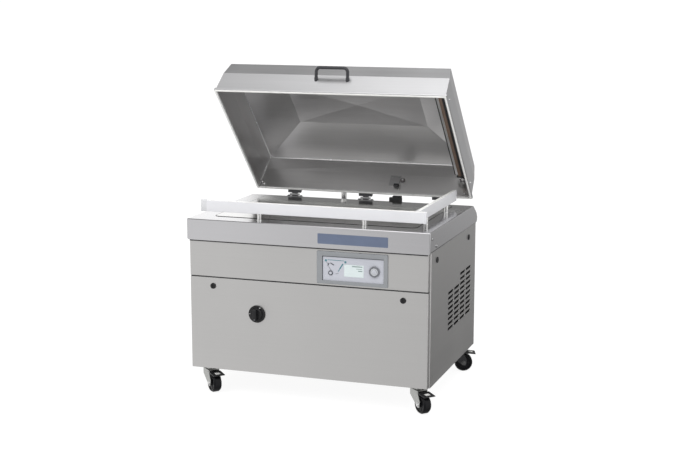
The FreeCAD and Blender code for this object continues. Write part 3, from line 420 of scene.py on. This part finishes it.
# ---------------------------------------------------------------- shapes
def lathe(profile, n=28, closed=False):
    """A turned shape about Z from (radius, height) pairs."""
    verts, faces, rings = [], [], []
    for r, h in profile:
        if r < 1e-7:
            rings.append([len(verts)])
            verts.append((0, 0, h))
        else:
            rings.append(list(range(len(verts), len(verts) + n)))
            verts += [(r * math.cos(2 * math.pi * k / n), r * math.sin(2 * math.pi * k / n), h) for k in range(n)]
    pairs = list(zip(rings, rings[1:])) + ([(rings[-1], rings[0])] if closed else [])
    for a, b in pairs:
        for k in range(n):
            j = (k + 1) % n
            if len(a) == 1 and len(b) == 1:
                continue
            if len(a) == 1:
                faces.append((a[0], b[j], b[k]))
            elif len(b) == 1:
                faces.append((a[k], a[j], b[0]))
            else:
                faces.append((a[k], a[j], b[j], b[k]))
    if not closed:
        for ring in (rings[0], rings[-1]):
            if len(ring) > 1:
                faces.append(tuple(ring))
    return verts, faces


def rounded(low, high, bevel=0.001, segments=2, keep=None):
    """A block with rolled edges."""
    bm = bmesh.new()
    bmesh.ops.create_cube(bm, size=1.0)
    low, high = Vector(low), Vector(high)
    for v in bm.verts:
        v.co = Vector(((high[i] + low[i]) / 2 + v.co[i] * (high[i] - low[i]) for i in range(3)))
    edges = [e for e in bm.edges if keep is None or keep(e)]
    bmesh.ops.bevel(bm, geom=edges, offset=bevel, segments=segments, profile=0.5, affect="EDGES", clamp_overlap=True)
    return harvest(bm)


def harvest(bm):
    bm.verts.ensure_lookup_table()
    bm.verts.index_update()
    out = [tuple(v.co) for v in bm.verts], [tuple(v.index for v in f.verts) for f in bm.faces]
    bm.free()
    return out


def extruded(outline, low, high, bevel=0.0, segments=2):
    """An outline in XY pulled up along Z, its long edges rolled."""
    bm = bmesh.new()
    face = bm.faces.new([bm.verts.new((x, y, low)) for x, y in outline])
    more = bmesh.ops.extrude_face_region(bm, geom=[face])
    for g in more["geom"]:
        if isinstance(g, bmesh.types.BMVert):
            g.co.z = high
    bmesh.ops.recalc_face_normals(bm, faces=bm.faces)
    if bevel:
        bmesh.ops.bevel(bm, geom=list(bm.edges), offset=bevel, segments=segments, profile=0.5, affect="EDGES", clamp_overlap=True)
    return harvest(bm)


def pipe(points, radius, n=10, swell=None, closed=False):
    """A round bar along a line of points."""
    pts = [Vector(p) for p in points]
    count = len(pts)
    verts, faces = [], []
    side = None
    for i, p in enumerate(pts):
        a = pts[(i - 1) % count] if closed else pts[max(i - 1, 0)]
        b = pts[(i + 1) % count] if closed else pts[min(i + 1, count - 1)]
        t = (b - a).normalized()
        if side is None:
            side = t.orthogonal().normalized()
        side = (side - t * side.dot(t)).normalized()
        up = t.cross(side)
        r = radius * (swell(i) if swell else 1.0)
        verts += [tuple(p + (side * math.cos(2 * math.pi * k / n) + up * math.sin(2 * math.pi * k / n)) * r) for k in range(n)]
    last = count if closed else count - 1
    for i in range(last):
        j = (i + 1) % count
        for k in range(n):
            q = (k + 1) % n
            faces.append((i * n + k, i * n + q, j * n + q, j * n + k))
    if not closed:
        faces.append(tuple(range(n)))
        faces.append(tuple(range((count - 1) * n, count * n)))
    return verts, faces


def aim(where, way, roll=0.0):
    q = Vector(way).normalized().to_track_quat("Z", "Y")
    return Matrix.Translation(where) @ q.to_matrix().to_4x4() @ Matrix.Rotation(roll, 4, "Z")


class Bits:
    """Several like pieces gathered in one object."""

    def __init__(self):
        self.verts, self.faces = [], []

    def add(self, shape, matrix=None):
        base = len(self.verts)
        self.verts += [tuple(matrix @ Vector(v)) if matrix else tuple(v) for v in shape[0]]
        self.faces += [tuple(i + base for i in f) for f in shape[1]]
        return self

    def make(self, name, material, body, slot=None, sharp=32):
        me = bpy.data.meshes.new(name)
        bm = bmesh.new()
        vs = [bm.verts.new(v) for v in self.verts]
        for f in self.faces:
            try:
                bm.faces.new([vs[i] for i in f])
            except ValueError:
                pass
        bmesh.ops.recalc_face_normals(bm, faces=bm.faces)
        for f in bm.faces:
            f.smooth = True
        for e in bm.edges:
            if len(e.link_faces) != 2 or e.calc_face_angle(0) > math.radians(sharp):
                e.smooth = False
        bm.to_mesh(me)
        bm.free()
        me.materials.append(M[material])
        ob = bpy.data.objects.new(name, me)
        scene.collection.objects.link(ob)
        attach(ob, body)
        return ob


def piece(name, shape, material, body, slot=None, matrix=None, sharp=32):
    return Bits().add(shape, matrix).make(name, material, body, slot, sharp)


def button_head(r, h):
    return lathe([(r, 0), (r, 0.30 * h), (0.90 * r, 0.62 * h), (0.70 * r, 0.88 * h), (0.50 * r, h), (0.44 * r, h), (0.40 * r, 0.45 * h), (0, 0.45 * h)], 24)


def hex_head(r, h):
    a = lathe([(1.45 * r, 0), (1.45 * r, 0.20 * h), (1.40 * r, 0.26 * h), (0, 0.26 * h)], 24)
    b = lathe([(r, 0.26 * h), (r, 0.88 * h), (0.86 * r, h), (0, h)], 6)
    n = len(a[0])
    return a[0] + b[0], a[1] + [tuple(i + n for i in f) for f in b[1]]


def soften(node, width, segments=2, angle=28, join=True):
    """Rolls the sharp edges of a sheet or block by a real bend radius."""
    o = NODES[node]
    w = o.modifiers.new("join", "WELD")
    w.merge_threshold = 0.00002
    if join:
        d = o.modifiers.new("plane", "DECIMATE")
        d.decimate_type = "DISSOLVE"
        d.angle_limit = math.radians(0.6)
    b = o.modifiers.new("roll", "BEVEL")
    b.width, b.segments, b.limit_method, b.angle_limit = width, segments, "ANGLE", math.radians(angle)
    b.use_clamp_overlap = True
    b.harden_normals = True
    b.miter_outer = "MITER_ARC"
    return o


# ---------------------------------------------------------------- rear hinges
CAD_HINGES = (-329, 17, 363)
SLANT = [Matrix.Translation(at(x, 697, 752.03)) @ Matrix.Rotation(-SLOPE, 4, "X") for x in CAD_HINGES]
coils = Bits()
for m0 in SLANT:
    for side, start in ((-1, -24.0), (1, 13.4)):
        pts, turns, step = [], 3.5, 26
        total = int(turns * step)
        for i in range(total + 1):
            phi = math.radians(-90) + 2 * math.pi * (i - total) / step
            x = start + 1.2 + (10.6 - 2.4) * i / total
            pts.append((x / 1000, (35 + 6.9 * math.cos(phi)) / 1000, (10.3 + 6.9 * math.sin(phi)) / 1000))
        end = pts[-1]
        pts += [(end[0], end[1] + k * 0.0028, end[2]) for k in range(1, 5)]
        coils.add(pipe(pts, 0.0011, 8), m0)
springs = coils.make("torsion_coils", "spring_steel", "cabinet", "spring_steel", 60)
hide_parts("lid_torsion_springs")

bolts, heads, lid_bolts = Bits(), Bits(), Bits()
for x, m0 in zip(CAD_HINGES, SLANT):
    for dx in (-17, 17):
        bolts.add(button_head(0.0050, 0.0036), m0 @ Matrix.Translation((dx / 1000, 0.058, 0.006)))
    for s in (-1, 1):
        heads.add(lathe([(0.0078, 0), (0.0078, 0.0016), (0.0068, 0.0026), (0, 0.0026)], 24),
                  aim(at(x + s * 35.1, 731.964, 741.578), (s, 0, 0)))
        lid_bolts.add(hex_head(0.0055, 0.0050), LID @ aim(at(x + s * 21.5, 693.4, 812), (0, 0.9972, 0.0748)))
bolts.make("hinge_bolts", "screw_steel", "cabinet", "polished_steel")
heads.make("hinge_pin_heads", "polished_steel", "cabinet", "polished_steel")
lid_bolts.make("hinge_leaf_bolts", "screw_steel", "lid", "polished_steel")
rolls = Bits()
for x in CAD_HINGES:
    rolls.add(lathe([(0.0038, -0.0240), (0.0048, -0.0230), (0.0048, 0.0230), (0.0038, 0.0240)], 28), LID @ aim(at(x, 719.5, 749.4), (1, 0, 0)))
rolls.make("hinge_rolls", "roll_steel", "lid", "polished_steel")

# ---------------------------------------------------------------- lid: weld runs, fixings
IN_TOP = [(-490.3, 41.2, 925.8), (490.3, 41.2, 925.8), (490.3, 672.8, 925.8), (-490.3, 672.8, 925.8)]
IN_BEND = [(-501.3, 26.2, 862), (501.3, 26.2, 862), (501.3, 680.8, 862), (-501.3, 680.8, 862)]
IN_LOW = [(-505.8, 20.4, 767), (505.8, 20.4, 767), (505.8, 683.8, 767), (-505.8, 683.8, 767)]


def weld_line(corners, closed=False, pitch=5.0):
    out = []
    pairs = list(zip(corners, corners[1:] + corners[:1])) if closed else list(zip(corners, corners[1:]))
    for a, b in pairs:
        a, b = at(*a), at(*b)
        n = max(2, int((b - a).length * 1000 / pitch))
        out += [a.lerp(b, i / n) for i in range(n)]
    if not closed:
        out.append(at(*corners[-1]))
    return out


def ripple(i):
    return 1.0 + 0.05 * math.sin(i * 2.1) + 0.03 * math.sin(i * 0.37)


runs = Bits()
runs.add(pipe(weld_line(IN_TOP, True), 0.0032, 8, ripple, True), SHELL)
for a, b, c in zip(IN_TOP, IN_BEND, IN_LOW):
    runs.add(pipe(weld_line([a, b, c]), 0.0032, 8, ripple), SHELL)
runs.make("lid_weld_runs", "weld", "lid", "lid_steel", 70)

fix = Bits()
for d in (79, 628):
    for s in (-1, 1):
        fix.add(button_head(0.0048, 0.0034), SHELL @ aim(at(s * 508.7, d, 795), (s, 0, 0.05)))
fix.make("lid_end_screws", "screw_steel", "lid", "polished_steel")
inner = Bits()
for x, z in ((-494, 787), (-480, 776), (482, 776), (499, 761)):
    inner.add(hex_head(0.0052, 0.0060), LID @ aim(at(x, 684.3 - (z - 767) * 0.0315, z), (0, -1, -0.03)))
for x in (-470, -160, 160, 480):
    inner.add(hex_head(0.0052, 0.0060), LID @ aim(at(x, 59, 855), (0, 1, 0)))
inner.make("lid_inner_bolts", "screw_steel", "lid", "polished_steel")
nuts = Bits()
for x in (-70, 70):
    nuts.add(hex_head(0.0065, 0.0070), SHELL @ aim(at(x, 23.3, 838), (0, 1, -0.06)))
nuts.make("handle_nuts", "screw_steel", "lid", "polished_steel")
piece("backing_pad", rounded(at(149.6, 670.7, 790.6), at(172.4, 680.6, 805.4), 0.0016, 3), "seal_rubber", "lid", "seal_rubber", LID)
piece("backing_pin", lathe([(0, 0), (0.0026, 0), (0.0030, 0.0006), (0.0030, 0.0294), (0.0026, 0.0300), (0, 0.0300)], 24), "polished_steel",
      "lid", "polished_steel", LID @ Matrix.Translation(at(177.0, 680.9, 774)))
knob_axis = LID @ aim(at(183.5, 682.4, 832), (0, -1, -0.03))
piece("backing_knob", lathe([(0.0105, 0), (0.0105, 0.0050), (0.0098, 0.0060), (0.0060, 0.0060), (0, 0.0060)], 32), "core_steel", "lid", "lid_steel", knob_axis)
piece("backing_knob_bolt", hex_head(0.0036, 0.0060), "screw_steel", "lid", "polished_steel", knob_axis @ Matrix.Translation((0, 0, 0.0060)))
# the two long black strips beside the right counter bar are painted shadow in the gaps along the bar; the third is a
# dark block at the bar's rear end
counter_shadow_and_end = Bits()
counter_shadow_and_end.add(rounded(at(431.6, 66.6, 842.6), at(435.9, 639.4, 866.0), 0.0012, 2), LID)
counter_shadow_and_end.add(rounded(at(463.4, 66.6, 838.4), at(474.6, 639.4, 842.9), 0.0012, 2), LID)
counter_shadow_and_end.add(rounded(at(440.0, 640.3, 836.0), at(473.0, 650.0, 866.0), 0.0020, 2), LID)
counter_shadow_and_end.make("counter_shadow_and_end_strips", "seal_rubber", "lid", "seal_rubber")
clamp = Bits()
clamp.add(rounded(at(446.0, 650.0, 846.0), at(468.0, 681.4, 858.0), 0.0015, 2), LID)
clamp.make("counter_end_clamp", "core_steel", "lid", "lid_steel")
end_bolts = Bits()
for x, d in ((452, 658), (462, 672)):
    end_bolts.add(hex_head(0.0050, 0.0050), LID @ aim(at(x, d, 846), (0, 0, -1)))
end_bolts.make("counter_end_bolts", "screw_steel", "lid", "polished_steel")

# ---------------------------------------------------------------- seal bars
TAPE = [(-7.5, 0.05), (-7.5, 0.35), (-4.4, 1.05), (4.4, 1.05), (7.5, 0.35), (7.5, 0.05)]
lay_x = Matrix(((0, 0, 1, 0), (1, 0, 0, 0), (0, 1, 0, 0), (0, 0, 0, 1)))
shape = extruded([(a / 1000, b / 1000) for a, b in TAPE], -0.4740, 0.4830)
piece("front_seal_tape", shape, "seal_tape", "front_seal", "seal_aluminium", Matrix.Translation(at(16, 46, 825.5)) @ lay_x)
lay_y = Matrix(((-1, 0, 0, 0), (0, 0, 1, 0), (0, 1, 0, 0), (0, 0, 0, 1)))
shape = extruded([(a / 1000, b / 1000) for a, b in TAPE], -0.2850, 0.2850)
piece("right_seal_tape", shape, "seal_tape", "right_seal", "seal_aluminium", Matrix.Translation(at(456, 357, 825.5)) @ lay_y)
piece("front_bar_cap_left", rounded(at(-483.9, 37.2, 778.8), at(-458.0, 54.8, 827.2), 0.0018, 3), "seal_cap", "front_seal", "seal_aluminium")
piece("front_bar_cap_right", rounded(at(490.6, 37.2, 778.8), at(497.8, 54.8, 827.2), 0.0016, 3), "seal_aluminium", "front_seal", "seal_aluminium")
caps = Bits()
for lo, hi in ((65.2, 71.0), (642.6, 648.8)):
    caps.add(rounded(at(447.2, lo, 778.8), at(464.8, hi, 827.2), 0.0016, 3))
caps.make("right_bar_caps", "seal_aluminium", "right_seal", "seal_aluminium")
for name, spots, body in (("front_post_collars", ((-222, 46), (238, 46)), "front_seal"),
                          ("right_post_collars", ((456, 186), (456, 503)), "right_seal")):
    c = Bits()
    for x, d in spots:
        c.add(lathe([(0.0096, 0), (0.0106, 0), (0.0111, 0.0006), (0.0111, 0.0050), (0.0096, 0.0050)], 28, True),
              Matrix.Translation(at(x, d, 774.4)))
    c.make(name, "polished_steel", body, "polished_steel")
bush = Bits()
for x, d in ((-222, 46), (238, 46), (456, 186), (456, 503)):
    bush.add(lathe([(0.0102, 0), (0.0113, 0), (0.0113, 0.0010), (0.0110, 0.0018), (0.0102, 0.0018)], 32, True),
             Matrix.Translation(at(x, d, 752.02)))
bush.make("post_bushes", "polished_steel", "cabinet", "polished_steel")

# ---------------------------------------------------------------- controls
ring = lathe([(0.0156, 0.0042), (0.0163, 0.0079), (0.0168, 0.0083), (0.0205, 0.0083), (0.0214, 0.0078), (0.0218, 0.0068),
              (0.0218, 0.0008), (0.0156, 0.0008)], 64, True)
dial_axis = aim(at(295.6, 0, 578.6), (0, -1, 0))
knob = piece("dial_ring", ring, "dial_plastic", "dial", "dial_plastic", dial_axis)
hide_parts("dial_knob")
cap = []
for i in range(9):
    r = 0.0155 * i / 8
    cap.append((r, 0.0068 - 0.0011 * (r / 0.0155) ** 2))
piece("dial_cap", lathe([(0, 0.0009), (0.0155, 0.0009)] + cap[::-1], 64), "dial_cap", "dial", "keypad_plastic", dial_axis)
piece("dial_centre", lathe([(0.0054, 0.0060), (0.0058, 0.0069), (0.0052, 0.0073), (0.0030, 0.0075), (0, 0.0076)], 40), "keypad_plastic",
      "dial", "keypad_plastic", dial_axis)
piece("dial_groove", lathe([(0.0092, 0.0056), (0.0092, 0.0068), (0.0104, 0.0068), (0.0104, 0.0056)], 56, True), "bezel_plastic",
      "dial", "dial_plastic", dial_axis)
grips = Bits()
for k in range(36):
    a = 2 * math.pi * k / 36
    grips.add(rounded((0.0212, -0.0005, 0.0016), (0.02225, 0.0005, 0.0070), 0.0003, 1), dial_axis @ Matrix.Rotation(a, 4, "Z"))
grips.make("dial_knurl", "dial_plastic", "dial", "dial_plastic")

marks, teal, lcd = Bits(), Bits(), Bits()


def stroke(bits, points, width, d0, d1):
    """A flat printed line on the key plate, points in mm across and up."""
    for (x0, z0), (x1, z1) in zip(points, points[1:]):
        length = math.hypot(x1 - x0, z1 - z0)
        turn = math.atan2(z1 - z0, x1 - x0)
        m1 = Matrix.Translation(at((x0 + x1) / 2, 0, (z0 + z1) / 2)) @ Matrix.Rotation(-turn, 4, "Y")
        bits.add(rounded((-(length / 2 + width / 2) / 1000, -d1 / 1000, -width / 2000), ((length / 2 + width / 2) / 1000, -d0 / 1000, width / 2000), 0.00005, 1), m1)


def disc(bits, x, z, r, d0, d1):
    bits.add(lathe([(r / 1000, d0 / 1000), (r / 1000, d1 / 1000), (0, d1 / 1000)], 28), aim(at(x, 0, z), (0, -1, 0)))


disc(teal, 87.8, 612.1, 5.0, 0.0, 0.30)
disc(teal, 171.8, 609.5, 4.6, 0.0, 0.30)
stroke(teal, [(96, 615.5), (166, 614.6)], 2.4, 0.0, 0.28)
stroke(teal, [(160, 600), (149, 583)], 5.0, 0.0, 0.28)
stroke(teal, [(147, 580), (141, 570)], 3.0, 0.0, 0.28)
stroke(marks, [(91, 606), (96, 597)], 1.4, 0.0, 0.26)
stroke(marks, [(96.5, 592.5), (101, 601)], 4.0, 0.0, 0.28)
stroke(marks, [(109, 602), (121, 595.5)], 4.2, 0.0, 0.28)
stroke(marks, [(99.5, 587), (110, 573)], 1.6, 0.0, 0.26)
stroke(marks, [(129, 559), (141, 561)], 1.3, 0.0, 0.28)
teal.make("keypad_route_marks", "mark_teal", "cabinet", "keypad_plastic")
marks.make("keypad_symbols", "dark_print_and_shade", "cabinet", "keypad_plastic")
for x0, x1, z, w in ((202, 242, 594.2, 4.0), (219, 242, 585.0, 2.2), (228, 242, 576.4, 3.8)):
    stroke(lcd, [(x0, z), (x1, z)], w, 0.40, 0.60)
lcd.make("display_bars", "mark_lcd", "cabinet", "screen")
# dark strips along the top and left inside edges of the key plate's recess: painted shadow cast by the bezel
edge = Bits()
edge.add(rounded(at(72.7, -0.8, 628.2), at(335.3, -0.02, 631.3), 0.0002, 1))
edge.add(rounded(at(72.7, -0.8, 530.5), at(74.6, -0.02, 628.2), 0.0002, 1))
edge.make("keypad_recess_shadow", "dark_print_and_shade", "cabinet", "dial_plastic")
# black strip under the deck lip's front edge: painted shadow of the gap under the lip; a second dark strip lies in the
# seam between the fascia and the lower panel
lip_shadow_and_seam = Bits()
lip_shadow_and_seam.add(rounded(at(-518.5, -6.6, 658.0), at(518.5, -0.05, 663.3), 0.0008, 2))
lip_shadow_and_seam.add(rounded(at(-518.0, 2.1, 501.5), at(518.0, 5.0, 512.5), 0.0006, 2))
lip_shadow_and_seam.make("lip_shadow_and_seam_strips", "seal_rubber", "cabinet", "seal_rubber")


def plate_edge(off):
    """The work plate's outline from its rear right corner round to its front right one, moved out by off."""
    out, r = [], 25.0 + off
    for turn, x, d in ((0, 419, 640), (90, -419, 640), (180, -419, 108), (270, 419, 108)):
        for i in range(9):
            a = math.radians(turn + 90 * i / 8)
            out.append((x + r * math.cos(a), d + r * math.sin(a), 752.1))
    return out


# dark bead round the work plate's edge, broken beside the right posts: painted shadow along the plate's edge
plate_edge_shade = Bits()
plate_edge_shade.add(pipe(weld_line([(445.3, 517.0, 752.1)] + plate_edge(1.3) + [(445.3, 172.0, 752.1)]), 0.0015, 8))
plate_edge_shade.add(pipe(weld_line([(445.3, 200.0, 752.1), (445.3, 489.0, 752.1)]), 0.0015, 8))
plate_edge_shade.make("plate_edge_shadow_bead", "seal_rubber", "cabinet", "seal_rubber")

stop_axis = aim(at(108.2, 0, 561.9), (0, -1, 0))
piece("stop_ring", lathe([(0.0062, 0.0020), (0.0062, 0.0027), (0.0098, 0.0026), (0.0100, 0.0018), (0.0100, 0.0010), (0.0062, 0.0010)], 40, True),
      "dark_print_and_shade", "stop", "dial_plastic", stop_axis)

switch_axis = aim(at(-218.5, 0, 363), (0, -1, 0), math.pi)
sw = Bits()
sw.add(lathe([(0.0016, 0.0058), (0.0016, 0.0063), (0, 0.0064)], 20), switch_axis @ Matrix.Translation((0.0305, 0.0, 0)))
sw.add(rounded((-0.0305, -0.0175, 0.0058), (-0.0205, -0.0160, 0.0063), 0.0001, 1), switch_axis @ Matrix.Rotation(math.radians(28), 4, "Z"))
sw.make("switch_marks", "mark_light", "cabinet", "keypad_plastic")
piece("switch_pointer", rounded((-0.0007, 0.0135, 0.0325), (0.0007, 0.0215, 0.03335), 0.0002, 1), "bezel_plastic", "main_switch", "keypad_plastic", switch_axis)
collar = lathe([(0.0262, 0.0058), (0.0276, 0.0058), (0.0276, 0.0082), (0.0269, 0.0088), (0.0262, 0.0082)], 56, True)
piece("switch_collar", collar, "black_plastic", "cabinet", "black_plastic", switch_axis)

# ---------------------------------------------------------------- panel fixings
ends = Bits()
for s in (-1, 1):
    ends.add(button_head(0.0056, 0.0040), aim(at(s * 529.8, 22.4, 722), (s, 0, 0)))
    ends.add(hex_head(0.0056, 0.0054), aim(at(s * 529.8, 82.6, 685), (s, 0, 0)))
ends.make("deck_end_screws", "screw_dull", "cabinet", "polished_steel")
rear = Bits()
for x in (-513, 513):
    for z in (130, 300, 470, 640):
        rear.add(button_head(0.0044, 0.0030), aim(at(x, 756, z), (0, 1, 0)))
for x in (-170, 170):
    for z in (130, 640):
        rear.add(button_head(0.0044, 0.0030), aim(at(x, 756, z), (0, 1, 0)))
rear.make("rear_panel_screws", "screw_steel", "cabinet", "polished_steel")
left = Bits()
for d in (36, 738):
    for z in (135, 385, 635):
        left.add(button_head(0.0044, 0.0030), aim(at(-527, d, z), (-1, 0, 0)))
left.make("left_panel_screws", "screw_steel", "cabinet", "polished_steel")
gland = Bits()
gland.add(lathe([(0.0101, 0.0001), (0.0176, 0.0001), (0.0184, 0.0010), (0.0184, 0.0058), (0.0176, 0.0067), (0.0152, 0.0067), (0.0101, 0.0067)], 6, True),
          aim(at(-400, 756, 200), (0, 1, 0)))
for k in range(14):
    gland.add(rounded((0.0112, -0.0009, 0.0085), (0.0128, 0.0009, 0.0210), 0.0004, 1),
              aim(at(-400, 756, 200), (0, 1, 0)) @ Matrix.Rotation(2 * math.pi * k / 14, 4, "Z"))
gland.make("gland_nut", "black_plastic", "cabinet", "black_plastic")

# ---------------------------------------------------------------- casters
CASTERS = (("fl", -456, 48, -42), ("fr", 470, 48, -42), ("rl", -463, 676, 161), ("rr", 463, 676, 19))
plate_bolts, races = Bits(), Bits()
for tag, x, d, a in CASTERS:
    spot = Matrix.Translation(at(x, d, 0)) @ Matrix.Rotation(math.radians(a), 4, "Z")
    for dx in (-27.5, 27.5):
        for dd in (-27.5, 27.5):
            plate_bolts.add(hex_head(0.0058, 0.0050), aim(at(x + dx, d + dd, 109), (0, 0, -1)))
    races.add(lathe([(0.0201, 0), (0.0235, 0.0002), (0.0262, 0.0020), (0.0262, 0.0068), (0.0240, 0.0079), (0.0201, 0.0079)], 40, True),
              Matrix.Translation(at(x, d, 101.0)))
    ax = Bits()
    for s in (-1, 1):
        ax.add(hex_head(0.0072, 0.0056), spot @ aim((0.036, s * 0.025, 0.040), (0, s, 0)))
    for s in (-1, 1):
        ax.add(lathe([(0.0030, 0), (0.0030, 0.0004), (0.0022, 0.0014), (0, 0.0018)], 16), spot @ Matrix.Translation((-0.0185, s * 0.0185, 0.0959)))
    # the rear casters' axle nuts take a dark copy of the screw steel: painted shade under the cabinet
    ax.make("caster_axle_nuts_" + tag, "screw_steel" if tag in ("fl", "fr") else "screw_shaded", "fork_" + tag, "zinc_steel")
    axle = spot @ Matrix.Translation((0.036, 0, 0.040)) @ Matrix.Rotation(-math.pi / 2, 4, "X")
    hub = Bits()
    for s in (-1, 1):
        flip = axle @ (Matrix.Identity(4) if s > 0 else Matrix.Rotation(math.pi, 4, "X"))
        hub.add(lathe([(0.0046, 0.0200), (0.0088, 0.0200), (0.0088, 0.0208), (0.0078, 0.0214), (0.0046, 0.0214)], 32, True), flip)
        hub.add(lathe([(0.0312, 0.0170), (0.0338, 0.0170), (0.0335, 0.0181), (0.0316, 0.0181)], 48, True), flip)
        for k in range(6):
            hub.add(rounded((0.0105, -0.0016, 0.0146), (0.0298, 0.0016, 0.0167), 0.0005, 1), flip @ Matrix.Rotation(k * math.pi / 3, 4, "Z"))
    hub.make("caster_hub_" + tag, "hub_plastic", "wheel_" + tag, "wheel_rubber")
    tread = Bits()
    slope = math.atan2(5.6, 47.0)
    u, half, thick = 68.0, 0.0085, 0.0010
    top = spot @ Matrix.Translation((u / 1000, 0, (89.8 - (u - 40.0) * 5.6 / 47.0) / 1000)) @ Matrix.Rotation(slope, 4, "Y")
    tread.add(rounded((-half, -0.0105, -0.0004), (half, 0.0105, thick), 0.0005, 2), top)
    for k in range(4):
        x0 = -half + 0.0016 + 0.0040 * k
        tread.add(rounded((x0, -0.0085, thick - 0.0003), (x0 + 0.0016, 0.0085, thick + 0.0008), 0.0003, 1), top)
    tread.make("caster_pedal_tread_" + tag, "tread_plate", "pedal_" + tag, "zinc_steel")
plate_bolts.make("caster_plate_bolts", "screw_steel", "cabinet", "zinc_steel")
races.make("caster_races", "zinc_steel", "cabinet", "zinc_steel")

# ---------------------------------------------------------------- rolled edges
for node, width in (("front_service_panel", 0.0012), ("control_fascia", 0.0012), ("left_side_panel", 0.0008), ("right_side_panel", 0.0008),
                    ("rear_panel", 0.0008), ("work_plate", 0.0004), ("control_bezel", 0.0008), ("lid_backing_bracket", 0.0010),
                    ("front_counter_bar", 0.0020), ("right_counter_bar", 0.0020), ("deck_hinge_brackets", 0.0010), ("lid_hinge_leaves", 0.0012)):
    soften(node, width)
soften("lid_stop_buffer", 0.0016, 3)
for tag in ("fl", "fr", "rl", "rr"):
    soften("caster_fork_" + tag, 0.0007)
    soften("caster_pedal_" + tag, 0.0006)
soften("lid_shell", 0.0016, 3, 20, False)
soften("chamber_deck", 0.0012, 2, 40)
